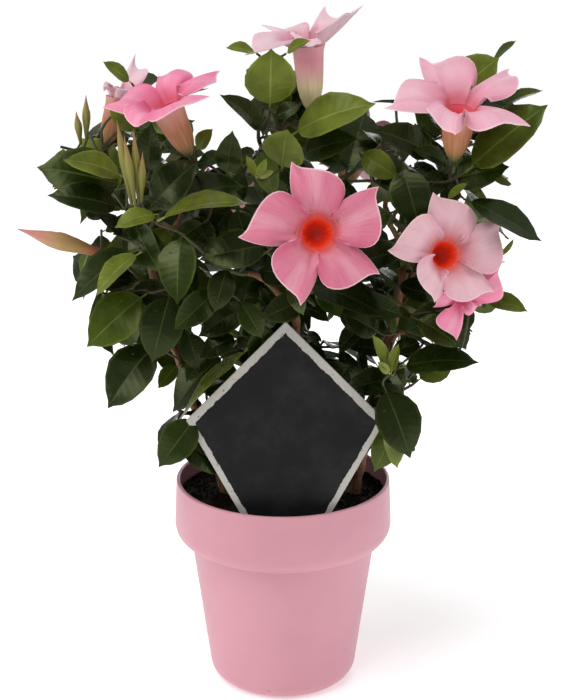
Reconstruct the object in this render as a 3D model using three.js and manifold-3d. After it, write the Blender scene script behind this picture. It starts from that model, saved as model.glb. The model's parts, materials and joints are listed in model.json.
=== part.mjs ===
// Potted mandevilla: a pink pot of compost with a blank plant label, five woody stems with their
// boughs, sprays of glossy leaves, and trumpet blooms. Millimetres, +Z up. The origin is the centre
// of the pot's flat underside, and -Y is the front.
import * as THREE from "three";
import { mergeVertices } from "three/addons/utils/BufferGeometryUtils.js";
import Module from "manifold-3d";

const wasm = await Module();
wasm.setup();

// Driving dimensions
const SEED = 134; // first throw of the growth rule
const GAP = 0.3; // clearance between neighbouring pieces
const POT = {
  height: 168,
  rimRadius: 85,
  lipRadius: 83.5,
  band: 49, // height of the thick band under the lip
  shoulder: 13, // height of the band's rounded foot
  bodyTop: 72.5,
  bodyBottom: 58.5,
  corner: 15,
  wall: 3.2,
  floor: 4,
  sides: 32,
};
const SOIL_TOP = POT.height - 14;
const FOOT_DEPTH = 10; // length of each stem that the flat cut takes off
const LABEL = {
  x: 2,
  y: -62,
  halfWidth: 73.5,
  apex: 313, // heights above the pot's underside
  widest: 237,
  footHalf: 30,
  thickness: 1.4,
  spikeHalf: 7,
  spikeDepth: 55,
  clearBehind: 5, // leaves stay this far behind the card
};
const LEAF = {
  width: 0.6, // of the length
  thickness: 0.9,
  stalkThickness: 2.4,
  fold: 0.26, // rise of each half towards its edge
  bend: 0.75, // radians that the blade arches over its length
  stalk: 0.1, // share of the length that is bare stalk
  sunk: 0.6, // depth of the stalk's root past the middle of its twig
  clear: 2.2,
  tries: 10, // each try swings further from the twig's side and makes a smaller leaf
  swing: 0.3,
  swingMore: 0.25,
  shrink: 0.06,
  rise: 0.2,
  riseSpread: 0.5,
  sizeSpread: 0.14,
  tumble: 0.47,
};
const TWIG = {
  base: 1.8,
  tip: 1.0,
  sides: 3,
  straight: 5, // first stretch, in line with the limb
  internode: 20,
  shorten: 0.1, // each stretch is this much shorter than the first
  lift: 0.1,
  wander: 0.22,
  clear: 3,
  fork: 8, // side twigs leave this far below a pair of leaves
  axil: 3, // and leaves this far below the joint
  sproutTurn: 0.9,
  sproutRise: 0.9,
  sideNodes: 2,
  sideShare: 0.8,
};
const BOUGH = { base: 2.4, rise: 0.6, reach: 0.35, sides: 4, steps: 4 };
const CROWN = {
  halfWidth: 190,
  halfDepth: 166,
  halfHeight: 270, // of the egg-shaped room that the crown fills
  middle: 403,
  bottom: 190,
  share: 10, // leaves of one spray may reach this far between those of the next
  cellMiddle: 0.62, // of the way along a spray, the middle of its own space
};
const BLOOM = {
  petals: 5,
  wall: 1.1,
  stalk: 1.5,
  stalkSides: 3,
  clearAhead: 26, // leaves stay out of this depth in front of its face
  outsidePoints: 5, // of its profile, from the root of the tube to the petal edge
};
const COLOURS = {
  pot: 0xdba3b0,
  soil: 0x2a1a12,
  label: 0x2a2a2a,
  bark: 0x7a5a3c,
  leaf: 0x33491c,
  bloom: 0xe58ba6,
};

// Stems: foot on the compost, tip, and how far the middle bows out from the straight line
const STEMS = {
  stem_left: { foot: [-41, 3], tip: [-106, -26, 374], bow: [-3, 3, 0], base: 4.6, end: 2.7 },
  stem_right: { foot: [53, 2], tip: [98, -27, 388], bow: [2, 4, 0], base: 4.6, end: 2.7 },
  stem_middle: { foot: [-4, 20], tip: [-14, -6, 420], bow: [6, 6, 0], base: 4.4, end: 2.5 },
  stem_back: { foot: [10, 46], tip: [-2, 80, 372], bow: [3, 5, 0], base: 4.4, end: 2.5 },
  stem_front: { foot: [15, -24], tip: [8, -58, 336], bow: [2, 2, 0], base: 4.0, end: 2.4 },
};

// Leafy sprays: the limb and the place on it that carry them, where the bough ends (none at a
// stem's own tip), the point that the main twig grows towards, and the size of its leaves
const SPRAYS = [
  { name: "upper_left", stem: "stem_left", at: 1,
    aim: [-128, -86, 412], nodes: 4, leaf: 56, droop: 0.1 },
  { name: "left_mid", stem: "stem_left", at: 0.74, end: [-110, -42, 336],
    aim: [-130, -74, 324], nodes: 4, leaf: 60, droop: 0.5 },
  { name: "left_low", stem: "stem_left", at: 0.5, end: [-88, -36, 284],
    aim: [-104, -66, 276], nodes: 4, leaf: 58, droop: 0.5 },
  { name: "lower_left", stem: "stem_left", at: 0.26, end: [-64, -16, 228],
    aim: [-86, -38, 228], nodes: 3, leaf: 56, droop: 0.25 },
  { name: "upper_left_inner", stem: "stem_middle", at: 0.74, end: [-56, -26, 398],
    aim: [-68, -72, 428], nodes: 3, leaf: 56, droop: 0.1 },
  { name: "top_middle", stem: "stem_middle", at: 1,
    aim: [-18, -54, 470], nodes: 3, leaf: 56, droop: 0.05 },
  { name: "middle_left", stem: "stem_front", at: 0.86, end: [-26, -74, 352],
    aim: [-66, -112, 362], nodes: 4, leaf: 56, droop: 0.3 },
  { name: "middle_right", stem: "stem_middle", at: 0.68, end: [30, -44, 408],
    aim: [58, -84, 436], nodes: 4, leaf: 56, droop: 0.1 },
  { name: "front_low", stem: "stem_front", at: 1,
    aim: [36, -108, 326], nodes: 4, leaf: 54, droop: 0.4 },
  { name: "upper_right", stem: "stem_right", at: 1,
    aim: [140, -48, 444], nodes: 4, leaf: 56, droop: 0.05 },
  { name: "right_inner", stem: "stem_right", at: 0.82, end: [76, -54, 384],
    aim: [70, -98, 398], nodes: 3, leaf: 56, droop: 0.3 },
  { name: "right_mid", stem: "stem_right", at: 0.72, end: [120, -18, 358],
    aim: [148, -46, 366], nodes: 4, leaf: 58, droop: 0.3 },
  { name: "lower_right", stem: "stem_right", at: 0.48, end: [92, -42, 298],
    aim: [112, -72, 296], nodes: 4, leaf: 58, droop: 0.4 },
  { name: "right_low", stem: "stem_right", at: 0.24, end: [74, -16, 232],
    aim: [92, -40, 232], nodes: 3, leaf: 54, droop: 0.25 },
  { name: "side_left", stem: "stem_left", at: 0.62, end: [-104, 24, 318],
    aim: [-128, 40, 320], nodes: 4, leaf: 58, droop: 0.4 },
  { name: "side_right", stem: "stem_right", at: 0.6, end: [106, 24, 316],
    aim: [130, 40, 322], nodes: 4, leaf: 58, droop: 0.4 },
  { name: "back_upper_left", stem: "stem_left", at: 0.88, end: [-80, 34, 376],
    aim: [-98, 68, 402], nodes: 3, leaf: 56, droop: 0.1 },
  { name: "back_upper_right", stem: "stem_right", at: 0.88, end: [80, 34, 384],
    aim: [98, 68, 410], nodes: 3, leaf: 56, droop: 0.1 },
  { name: "back_top", stem: "stem_back", at: 1,
    aim: [0, 96, 424], nodes: 3, leaf: 56, droop: 0.1 },
  { name: "back_left", stem: "stem_back", at: 0.62, end: [-52, 84, 292],
    aim: [-80, 100, 296], nodes: 3, leaf: 58, droop: 0.4 },
  { name: "back_right", stem: "stem_back", at: 0.7, end: [54, 84, 302],
    aim: [82, 100, 306], nodes: 3, leaf: 58, droop: 0.4 },
  { name: "back_low", stem: "stem_back", at: 0.34, end: [2, 76, 232],
    aim: [-2, 98, 236], nodes: 3, leaf: 56, droop: 0.25 },
];

// Blooms: each head has the middle of its mouth, the way it faces, its reach to the petal tips, the
// length of its tube and how wide it has opened; each bud has its root, tip and width
const BLOOMS = [
  { name: "bloom_front", limb: "stem_middle", at: 0.76,
    heads: [
      { mouth: [24, -150, 400], face: [0.12, -0.94, 0.25], reach: 46, tube: 46, open: 1, turn: 0.87 },
    ] },
  { name: "bloom_right", limb: "stem_right", at: 0.84,
    heads: [
      { mouth: [119, -116, 376], face: [0.2, -0.92, 0.28], reach: 43, tube: 46, open: 0.9, turn: 1.1 },
      { mouth: [126, -118, 339], face: [0.1, -0.85, -0.4], reach: 29, tube: 34, open: 0.9, turn: 0.1 },
    ] },
  { name: "bloom_upper_right", limb: "stem_right", at: 0.97,
    heads: [
      { mouth: [119, -106, 479], face: [0.03, -0.34, 0.94], reach: 47, tube: 48, open: 0.85, turn: 1.2 },
    ] },
  { name: "bloom_upper_left", limb: "stem_left", at: 0.94,
    heads: [
      { mouth: [-81, -86, 481], face: [-0.22, -0.34, 0.9], reach: 43, tube: 48, open: 1, turn: 0.8 },
      { mouth: [-102, -36, 484], face: [-0.3, 0.1, 0.94], reach: 36, tube: 42, open: 0.75, turn: 0.2 },
    ] },
  { name: "bloom_top", limb: "stem_middle", at: 0.8,
    heads: [
      { mouth: [13, -40, 503], face: [-0.08, -0.02, 0.99], reach: 45, tube: 44, open: 0.6, turn: 1.2 },
    ] },
  { name: "bud_left", limb: "bough_left_mid", at: 0.6,
    buds: [{ root: [-124, -62, 362], tip: [-187, -76, 385], width: 14 }] },
  { name: "bloom_back_left", limb: "stem_back", at: 0.84,
    heads: [
      { mouth: [-58, 158, 344], face: [-0.3, 0.9, 0.3], reach: 44, tube: 46, open: 0.95, turn: 0.1 },
    ] },
  { name: "bloom_back_right", limb: "stem_back", at: 0.92,
    heads: [
      { mouth: [62, 132, 420], face: [0.3, 0.62, 0.72], reach: 44, tube: 46, open: 0.9, turn: 0.5 },
    ] },
];

const UP = new THREE.Vector3(0, 0, 1);
const vec = (p) => new THREE.Vector3(...p);

// Turns a closed geometry into a solid that can be joined and cut
function solidOf(geometry) {
  const bare = geometry.clone();
  bare.deleteAttribute("normal");
  bare.deleteAttribute("uv");
  const merged = mergeVertices(bare, 1e-4);
  return new wasm.Manifold(
    new wasm.Mesh({
      numProp: 3,
      vertProperties: merged.attributes.position.array,
      triVerts: new Uint32Array(merged.index.array),
    }),
  );
}

// The largest closed body of a solid, without loose scraps or sealed hollows
function mainBody(solid) {
  return solid.decompose().reduce((a, b) => (b.volume() > a.volume() ? b : a));
}

function geometryOf(solid) {
  const mesh = solid.getMesh();
  const geometry = new THREE.BufferGeometry();
  geometry.setAttribute("position", new THREE.BufferAttribute(mesh.vertProperties, 3));
  geometry.setIndex(new THREE.BufferAttribute(mesh.triVerts, 1));
  geometry.computeVertexNormals();
  return geometry;
}

function node(name, geometry, colour, roughness) {
  const material = new THREE.MeshStandardMaterial({ color: colour, roughness, metalness: 0 });
  const mesh = new THREE.Mesh(geometry, material);
  mesh.name = name;
  return mesh;
}

// A round profile of radius and height turned about the Z axis
function turned(points, sides) {
  return new THREE.LatheGeometry(points, sides).rotateX(Math.PI / 2);
}

function moveVertices(geometry, place) {
  const position = geometry.attributes.position;
  const p = new THREE.Vector3();
  for (let i = 0; i < position.count; i++) {
    place(p.fromBufferAttribute(position, i));
    position.setXYZ(i, p.x, p.y, p.z);
  }
  return geometry;
}

// A closed cylinder bent along a curve, with its radius given by the share of the way along
function taperedTube(curve, radiusAt, sides, steps) {
  const frames = curve.computeFrenetFrames(steps);
  const centre = new THREE.Vector3();
  return moveVertices(new THREE.CylinderGeometry(1, 1, 1, sides, steps), (p) => {
    const i = Math.round((p.y + 0.5) * steps);
    const radius = radiusAt(i / steps);
    const across = frames.normals[i].clone().multiplyScalar(p.x * radius);
    const over = frames.normals[i].clone().cross(frames.tangents[i]).multiplyScalar(p.z * radius);
    curve.getPointAt(i / steps, centre);
    p.copy(centre).add(across).add(over);
  });
}

function potProfile() {
  const { height, rimRadius, lipRadius, band, shoulder, bodyTop, bodyBottom, corner, wall, floor } = POT;
  const bandFoot = height - band;
  const lip = wall / 2;
  const quarter = Math.PI / 2;
  const path = new THREE.Path();
  path.moveTo(0, 0);
  path.lineTo(bodyBottom - corner, 0);
  path.absarc(bodyBottom - corner, corner, corner, -quarter, 0, false);
  path.lineTo(bodyTop, bandFoot);
  path.absellipse(bodyTop, bandFoot + shoulder, rimRadius - bodyTop, shoulder, -quarter, 0, false);
  path.lineTo(lipRadius, height - lip);
  path.absarc(lipRadius - lip, height - lip, lip, 0, Math.PI, false);
  path.lineTo(rimRadius - wall, bandFoot + shoulder);
  path.lineTo(bodyTop - wall, bandFoot);
  path.lineTo(bodyBottom - wall, corner);
  path.lineTo(bodyBottom - wall - corner / 2, floor);
  path.lineTo(0, floor);
  return path.getPoints(2);
}

function soilProfile() {
  const { height, rimRadius, band, shoulder, bodyTop, bodyBottom, corner, wall, floor } = POT;
  const bandFoot = height - band;
  const inset = wall + GAP;
  return [
    [0, floor + GAP],
    [bodyBottom - inset - corner / 2, floor + GAP],
    [bodyBottom - inset, corner],
    [bodyTop - inset, bandFoot],
    [rimRadius - inset, bandFoot + shoulder],
    [rimRadius - inset - 2, SOIL_TOP],
    [0, SOIL_TOP],
  ].map(([radius, z]) => new THREE.Vector2(radius, z));
}

// The label's five-sided card and the spike that holds it in the compost, grown by a margin
function labelSolid(margin) {
  const { x, y, halfWidth, apex, widest, footHalf, thickness, spikeHalf, spikeDepth } = LABEL;
  const foot = SOIL_TOP + 1;
  const spike = SOIL_TOP - spikeDepth;
  const half = [
    [footHalf, foot],
    [spikeHalf + margin, foot - 12],
    [spikeHalf + margin, spike + spikeHalf],
    [1 + margin, spike - margin],
  ];
  const shape = new THREE.Shape();
  shape.moveTo(0, apex);
  shape.lineTo(-halfWidth, widest);
  half.forEach(([w, z]) => shape.lineTo(-w, z));
  half.reverse().forEach(([w, z]) => shape.lineTo(w, z));
  shape.lineTo(halfWidth, widest);
  const depth = thickness + 2 * margin;
  const card = new THREE.ExtrudeGeometry(shape, { depth, bevelEnabled: false });
  return solidOf(card.rotateX(Math.PI / 2).translate(x, y + margin, 0));
}

// Repeatable dice: a linear congruential generator
function diceFrom(seed) {
  let state = seed >>> 0;
  return () => {
    state = (Math.imul(state, 1664525) + 1013904223) >>> 0;
    return state / 4294967296;
  };
}

// The space under the compost's surface, which cuts the stems' feet flat
function groundBlock() {
  const width = 2 * POT.rimRadius;
  const height = 2 * FOOT_DEPTH;
  return solidOf(new THREE.BoxGeometry(width, width, height).translate(0, 0, SOIL_TOP + GAP - height / 2));
}

// A limb is a curve with a radius along it
function stemLimb({ foot, tip, bow, base, end }) {
  const low = vec([...foot, SOIL_TOP - FOOT_DEPTH]);
  const high = vec(tip);
  const middle = low.clone().lerp(high, 0.5).add(vec(bow));
  const curve = new THREE.CatmullRomCurve3([low, middle, high]);
  const length = curve.getLength();
  const flare = 1.8;
  const flareHeight = 7;
  const radiusAt = (u) => {
    const rise = Math.max(0, u * length - FOOT_DEPTH);
    return end + (base - end) * (1 - u) + flare * Math.exp(-rise / flareHeight);
  };
  return { curve, radiusAt, sides: 6, steps: 9 };
}

// A bough leaves its parent's middle line, bends towards the heading and ends at the spray
function sideLimb(parent, at, end, heading, base, tip) {
  const root = parent.curve.getPointAt(at);
  const length = root.distanceTo(end);
  const rise = parent.curve.getTangentAt(at).lerp(end.clone().sub(root).normalize(), BOUGH.rise).normalize();
  const curve = new THREE.CubicBezierCurve3(
    root,
    root.clone().addScaledVector(rise, length * BOUGH.reach),
    end.clone().addScaledVector(heading, -length * BOUGH.reach),
    end,
  );
  const radiusAt = (u) => base + (tip - base) * u;
  return { curve, radiusAt, sides: BOUGH.sides, steps: BOUGH.steps, parent };
}

function limbSolid(limb, margin = 0) {
  const radiusAt = (u) => limb.radiusAt(u) + margin;
  let solid = solidOf(taperedTube(limb.curve, radiusAt, limb.sides, limb.steps));
  if (margin > 0) return solid;
  return mainBody(solid.subtract(limb.parent ? limbSolid(limb.parent, GAP) : groundBlock()));
}

// Points with a radius, along a limb or twig, that leaves keep clear of
function limbMarks(limb, spacing = 3) {
  const count = Math.ceil(limb.curve.getLength() / spacing);
  return Array.from({ length: count + 1 }, (_, i) => ({
    point: limb.curve.getPointAt(i / count),
    radius: limb.radiusAt(i / count),
  }));
}

// Half the leaf's width at a share of its length, as a share of its full width
function leafHalfWidth(u) {
  if (u <= LEAF.stalk) return 0.04;
  const blade = (u - LEAF.stalk) / (1 - LEAF.stalk);
  return 0.04 + 0.46 * Math.pow(Math.sin(Math.PI * Math.pow(blade, 0.85)), 0.8);
}

// Height of the blade's surface over the flat leaf plane: it arches down and its halves fold up
function leafHeight(along, across, length) {
  const turn = (LEAF.bend * along) / length;
  return (-turn * along) / 2 + Math.abs(across) * LEAF.fold;
}

function leafSide(leaf) {
  return leaf.axis.clone().cross(leaf.normal);
}

function leafPoint(leaf, along, across) {
  return leaf.base
    .clone()
    .addScaledVector(leaf.axis, along)
    .addScaledVector(leafSide(leaf), across)
    .addScaledVector(leaf.normal, leafHeight(along, across, leaf.length));
}

const LEAF_STATIONS = [LEAF.stalk, 0.4, 0.74];

// Points on the leaf's edges and midrib
function leafOutline(leaf) {
  const points = [leafPoint(leaf, leaf.length, 0)];
  for (const u of LEAF_STATIONS) {
    const half = leafHalfWidth(u) * leaf.width;
    for (const across of [-half, 0, half]) points.push(leafPoint(leaf, u * leaf.length, across));
  }
  return points;
}

// Points spread over the blade that later leaves keep clear of
function leafMarks(leaf) {
  const points = [];
  for (let u = 0.2; u <= 1.001; u += 0.1) {
    const half = leafHalfWidth(Math.min(u, 1)) * leaf.width;
    for (const share of [-1, -0.6, -0.2, 0.2, 0.6, 1]) {
      points.push(leafPoint(leaf, u * leaf.length, share * half));
    }
  }
  return points;
}

// A four-sided spindle pressed flat, then folded along its midrib and arched
function leafGeometry(leaf) {
  const profile = [new THREE.Vector2(0, 0)];
  for (const u of LEAF_STATIONS) {
    profile.push(new THREE.Vector2(leafHalfWidth(u) * leaf.width, u * leaf.length));
  }
  profile.push(new THREE.Vector2(0, leaf.length));
  const side = leafSide(leaf);
  return moveVertices(new THREE.LatheGeometry(profile, 4), (p) => {
    const along = p.y;
    const across = p.x;
    const thickness = along > LEAF.stalk * leaf.length + 1 ? LEAF.thickness : LEAF.stalkThickness;
    const face = Math.sign(Math.round(p.z * 100));
    const lift = leafHeight(along, across, leaf.length) + (face * thickness) / 2;
    p.copy(leaf.base)
      .addScaledVector(leaf.axis, along)
      .addScaledVector(side, across)
      .addScaledVector(leaf.normal, lift);
  });
}

// True if a marked point lies in the leaf's blade, within its clearance
function leafTouches(leaf, side, mark) {
  const reach = mark.radius + LEAF.clear;
  if (mark.point.distanceToSquared(leaf.base) > (leaf.length + reach) ** 2) return false;
  const away = mark.point.clone().sub(leaf.base);
  const along = away.dot(leaf.axis);
  if (along < leaf.length * LEAF.stalk || along > leaf.length + reach) return false;
  const across = away.dot(side);
  if (Math.abs(across) > leafHalfWidth(Math.min(1, along / leaf.length)) * leaf.width + reach) return false;
  return Math.abs(away.dot(leaf.normal) - leafHeight(along, across, leaf.length)) < reach;
}

function inCrown(p) {
  const { halfWidth, halfDepth, halfHeight, middle, bottom } = CROWN;
  const out = (p.x / halfWidth) ** 2 + (p.y / halfDepth) ** 2 + ((p.z - middle) / halfHeight) ** 2;
  return out < 1 && p.z > bottom;
}

// Room for leaves: over or outside the pot's rim, and not in front of the label
function clearOfPotAndLabel(p) {
  const radius = Math.hypot(p.x, p.y);
  const overRim = p.z > POT.height + 3;
  const insideRim = radius < POT.lipRadius - POT.wall - 4 && p.z > SOIL_TOP + 3;
  if (!overRim && !insideRim && radius < POT.rimRadius + 3) return false;
  if (p.y > LABEL.y + LABEL.clearBehind) return true;
  const { halfWidth, apex, widest, footHalf } = LABEL;
  const upper = (halfWidth * (apex - p.z)) / (apex - widest);
  const lower = footHalf + ((halfWidth - footHalf) * (p.z - SOIL_TOP)) / (widest - SOIL_TOP);
  return p.z < SOIL_TOP || Math.abs(p.x - LABEL.x) > Math.min(upper, lower) + 4;
}

// Each spray keeps to the points that are nearer to its own middle than to any other spray's
function cellOf(spray, sprays) {
  const walls = sprays
    .filter((other) => other !== spray)
    .map((other) => {
      const normal = other.middle.clone().sub(spray.middle).normalize();
      const offset = normal.dot(spray.middle.clone().lerp(other.middle, 0.5));
      return { normal, offset };
    });
  return (p, margin) => walls.every(({ normal, offset }) => normal.dot(p) < offset - margin);
}

// Grows one spray: a main twig with pairs of leaves set crosswise, and side twigs in the axils
function growSpray(spray, inCell, marks) {
  const dice = diceFrom(spray.seed);
  const twigs = [];
  const leaves = [];
  const holds = (p, margin) => inCell(p, margin) && inCrown(p) && clearOfPotAndLabel(p);
  const centred = () => 2 * dice() - 1;

  function tryLeaf(root, heading, out) {
    for (let attempt = 0; attempt < LEAF.tries; attempt++) {
      const swing = centred() * (LEAF.swing + LEAF.swingMore * attempt);
      const rise = LEAF.rise + LEAF.riseSpread * dice();
      const spread = 1 + LEAF.sizeSpread * centred();
      const size = spray.leaf * spread * (1 - LEAF.shrink * attempt);
      const axis = out
        .clone()
        .applyAxisAngle(heading, swing)
        .addScaledVector(heading, rise)
        .addScaledVector(UP, -spray.droop)
        .normalize();
      const toLight = new THREE.Vector3(root.x, root.y, 0)
        .normalize()
        .add(UP)
        .add(new THREE.Vector3(centred(), centred(), centred()).multiplyScalar(LEAF.tumble));
      const normal = toLight.addScaledVector(axis, -toLight.dot(axis)).normalize();
      const base = root.clone().addScaledVector(axis, -LEAF.sunk);
      const leaf = { base, axis, normal, length: size, width: size * LEAF.width };
      const side = leafSide(leaf);
      const outline = leafOutline(leaf);
      if (!outline.every((p) => holds(p, -CROWN.share))) continue;
      if (marks.some((mark) => leafTouches(leaf, side, mark))) continue;
      leaves.push(leaf);
      leafMarks(leaf).forEach((point) => marks.push({ point, radius: 1 }));
      return;
    }
  }

  function growTwig(root, start, towards, nodes, order, base) {
    const points = [root.clone(), root.clone().addScaledVector(start, TWIG.straight)];
    const heading = towards.clone();
    const joints = [];
    let roll = dice() * Math.PI;
    for (let i = 0; i < nodes; i++) {
      heading
        .addScaledVector(UP, TWIG.lift)
        .add(new THREE.Vector3(centred(), centred(), centred()).multiplyScalar(TWIG.wander))
        .normalize();
      const last = points[points.length - 1];
      const next = last.clone().addScaledVector(heading, TWIG.internode * (1 - TWIG.shorten * i));
      const blocked = [0.3, 0.65, 1].some((share) => {
        const p = last.clone().lerp(next, share);
        return marks.some((m) => m.twig !== spray.name && m.point.distanceTo(p) < m.radius + TWIG.clear);
      });
      if (!holds(next, 3) || blocked) break;
      points.push(next);
      joints.push({ point: next, heading: heading.clone(), roll });
      roll += Math.PI / 2;
    }
    if (joints.length === 0) return;
    const curve = new THREE.CatmullRomCurve3(points);
    const radiusAt = (u) => base + (TWIG.tip - base) * u;
    const twig = { curve, radiusAt, sides: TWIG.sides, steps: points.length - 1 };
    twigs.push(twig);
    limbMarks(twig, 5).forEach((m) => marks.push({ ...m, twig: spray.name }));
    joints.forEach((joint, i) => {
      const across = new THREE.Vector3().crossVectors(joint.heading, UP).normalize();
      const out = across.applyAxisAngle(joint.heading, joint.roll);
      if (order > 0 && i < joints.length - 1) {
        const sprout = out
          .clone()
          .applyAxisAngle(joint.heading, TWIG.sproutTurn)
          .addScaledVector(joint.heading, TWIG.sproutRise)
          .normalize();
        const fork = joint.point.clone().addScaledVector(joint.heading, -TWIG.fork);
        growTwig(fork, sprout, sprout, TWIG.sideNodes, order - 1, TWIG.base * TWIG.sideShare);
      }
      const axil = joint.point.clone().addScaledVector(joint.heading, -TWIG.axil);
      tryLeaf(axil, joint.heading, out);
      tryLeaf(axil, joint.heading, out.clone().negate());
    });
  }

  growTwig(spray.root, spray.start, spray.heading, spray.nodes, 1, TWIG.base);
  return { twigs, leaves };
}

// A bloom's outline round its axis, from the notch between petals to the hooked petal tip
function petalReach(phase) {
  const shape = [0.56, 0.94, 1.0];
  return shape[Math.round(phase * shape.length) % shape.length];
}

// Radius and height of the trumpet: out along the tube and throat to the petal edge, and back inside
function bloomProfile({ reach, tube, open }) {
  const mouth = 0.29 * reach;
  const edge = reach * (0.45 + 0.55 * open);
  const lift = reach * 1.2 * (1 - open);
  const outside = [
    [0, 0, 0],
    [3.4, tube * 0.24, 0],
    [0.95 * mouth, tube * 0.72, 0],
    [0.62 * edge, tube + lift * 0.5, 0.45],
    [edge, tube + lift, 1],
  ];
  const inside = [
    [0.6 * edge, tube + lift * 0.5 + BLOOM.wall, 0.45],
    [mouth - BLOOM.wall, tube * 0.9, 0],
    [0, tube * 0.5, 0],
  ];
  return [...outside, ...inside];
}

function bloomGeometry(head) {
  const profile = bloomProfile(head);
  const perPetal = 3;
  const sides = BLOOM.petals * perPetal;
  const geometry = new THREE.LatheGeometry(profile.map(([radius, z]) => new THREE.Vector2(radius, z)), sides);
  const position = geometry.attributes.position;
  for (let i = 0; i < position.count; i++) {
    const ring = profile[i % profile.length];
    const step = Math.floor(i / profile.length) % sides;
    const spread = 1 - ring[2] * (1 - petalReach((step % perPetal) / perPetal));
    position.setX(i, position.getX(i) * spread);
    position.setZ(i, position.getZ(i) * spread);
  }
  const axis = vec(head.face).normalize();
  const base = vec(head.mouth).addScaledVector(axis, -head.tube);
  geometry.rotateY(head.turn);
  geometry.applyQuaternion(new THREE.Quaternion().setFromUnitVectors(new THREE.Vector3(0, 1, 0), axis));
  return geometry.translate(base.x, base.y, base.z);
}

function budGeometry({ root, tip, width }) {
  const from = vec(root);
  const along = vec(tip).sub(from);
  const length = along.length();
  const profile = [[0, 0], [0.2, 0.16], [0.44, 0.42], [0.5, 0.6], [0.28, 0.84], [0, 1]];
  const points = profile.map(([r, z]) => new THREE.Vector2(r * width, z * length));
  const turn = new THREE.Quaternion().setFromUnitVectors(new THREE.Vector3(0, 1, 0), along.normalize());
  return new THREE.LatheGeometry(points, 7).applyQuaternion(turn).translate(from.x, from.y, from.z);
}

// Stalks of a bloom spray: the first runs from the limb to the first head or bud, the others fork from it
function bloomStalks(bloom, limb) {
  const ends = [
    ...(bloom.heads ?? []).map((head) => {
      const face = vec(head.face).normalize();
      return { point: vec(head.mouth).addScaledVector(face, 2 - head.tube), face };
    }),
    ...(bloom.buds ?? []).map((bud) => {
      const face = vec(bud.tip).sub(vec(bud.root)).normalize();
      return { point: vec(bud.root).addScaledVector(face, 4), face };
    }),
  ];
  const stalks = [];
  for (const { point, face } of ends) {
    const parent = stalks[0] ?? limb;
    const at = stalks[0] ? 0.45 : bloom.at;
    const stalk = sideLimb(parent, at, point, face, BLOOM.stalk, BLOOM.stalk);
    stalk.sides = BLOOM.stalkSides;
    stalks.push(stalk);
  }
  return stalks;
}

function bloomSolid(bloom, stalks) {
  let solid = limbSolid(stalks[0]);
  for (const stalk of stalks.slice(1)) {
    solid = solid.add(solidOf(taperedTube(stalk.curve, stalk.radiusAt, stalk.sides, stalk.steps)));
  }
  for (const head of bloom.heads ?? []) solid = solid.add(solidOf(bloomGeometry(head)));
  for (const bud of bloom.buds ?? []) solid = solid.add(solidOf(budGeometry(bud)));
  return mainBody(solid);
}

// Points round a bloom's trumpet and ahead of its face that leaves and twigs keep clear of
function bloomMarks(bloom, stalks) {
  const marks = stalks.flatMap((stalk) => limbMarks(stalk));
  for (const bud of bloom.buds ?? []) {
    for (let u = 0; u <= 1; u += 0.1) {
      marks.push({ point: vec(bud.root).lerp(vec(bud.tip), u), radius: bud.width * 0.55 });
    }
  }
  for (const head of bloom.heads ?? []) {
    const axis = vec(head.face).normalize();
    const across = new THREE.Vector3(0.3, 0.2, 1).cross(axis).normalize();
    const base = vec(head.mouth).addScaledVector(axis, -head.tube);
    const outside = bloomProfile(head).slice(0, BLOOM.outsidePoints);
    outside.forEach(([radius, z], i) => {
      const [lastRadius, lastZ] = outside[Math.max(0, i - 1)];
      const steps = Math.ceil(Math.hypot(radius - lastRadius, z - lastZ) / 8);
      for (let k = 1; k <= steps; k++) {
        ring(lastRadius + ((radius - lastRadius) * k) / steps, lastZ + ((z - lastZ) * k) / steps, 6);
      }
    });
    const [reach, height] = outside[outside.length - 1];
    for (const ahead of [0.5, 1]) {
      for (const share of [0.4, 0.9]) ring(share * reach, height + ahead * BLOOM.clearAhead, 10);
    }

    function ring(radius, z, clear) {
      const count = radius > 12 ? 18 : 6;
      for (let k = 0; k < count; k++) {
        const spoke = across.clone().applyAxisAngle(axis, (2 * Math.PI * k) / count);
        const point = base.clone().addScaledVector(axis, z).addScaledVector(spoke, radius);
        marks.push({ point, radius: clear });
      }
    }
  }
  return marks;
}

const plant = new THREE.Group();
plant.name = "potted_mandevilla";

// Pot, compost and label
const labelCard = labelSolid(0);
const soil = solidOf(turned(soilProfile(), POT.sides)).subtract(labelSolid(GAP));
plant.add(node("pot", turned(potProfile(), POT.sides), COLOURS.pot, 0.55));
plant.add(node("soil", geometryOf(mainBody(soil)), COLOURS.soil, 0.95));
plant.add(node("plant_label", geometryOf(labelCard), COLOURS.label, 0.7));

// Stems and boughs
const limbs = {};
for (const [name, size] of Object.entries(STEMS)) limbs[name] = stemLimb(size);
SPRAYS.forEach((spray, i) => {
  const stem = limbs[spray.stem];
  const from = spray.end ? vec(spray.end) : stem.curve.getPointAt(1);
  spray.heading = vec(spray.aim).sub(from).normalize();
  spray.start = spray.end ? spray.heading : stem.curve.getTangentAt(1);
  spray.root = from.clone().addScaledVector(spray.start, GAP);
  spray.middle = from.clone().lerp(vec(spray.aim), CROWN.cellMiddle);
  spray.seed = SEED + 37 * i;
  if (spray.end) {
    limbs[`bough_${spray.name}`] = sideLimb(stem, spray.at, from, spray.heading, BOUGH.base, TWIG.base);
  }
});
for (const [name, limb] of Object.entries(limbs)) {
  plant.add(node(name, geometryOf(limbSolid(limb)), COLOURS.bark, 0.85));
}

// Blooms
const marks = Object.values(limbs).flatMap((limb) => limbMarks(limb));
for (const bloom of BLOOMS) {
  const stalks = bloomStalks(bloom, limbs[bloom.limb]);
  plant.add(node(bloom.name, geometryOf(bloomSolid(bloom, stalks)), COLOURS.bloom, 0.6));
  marks.push(...bloomMarks(bloom, stalks));
}

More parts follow.
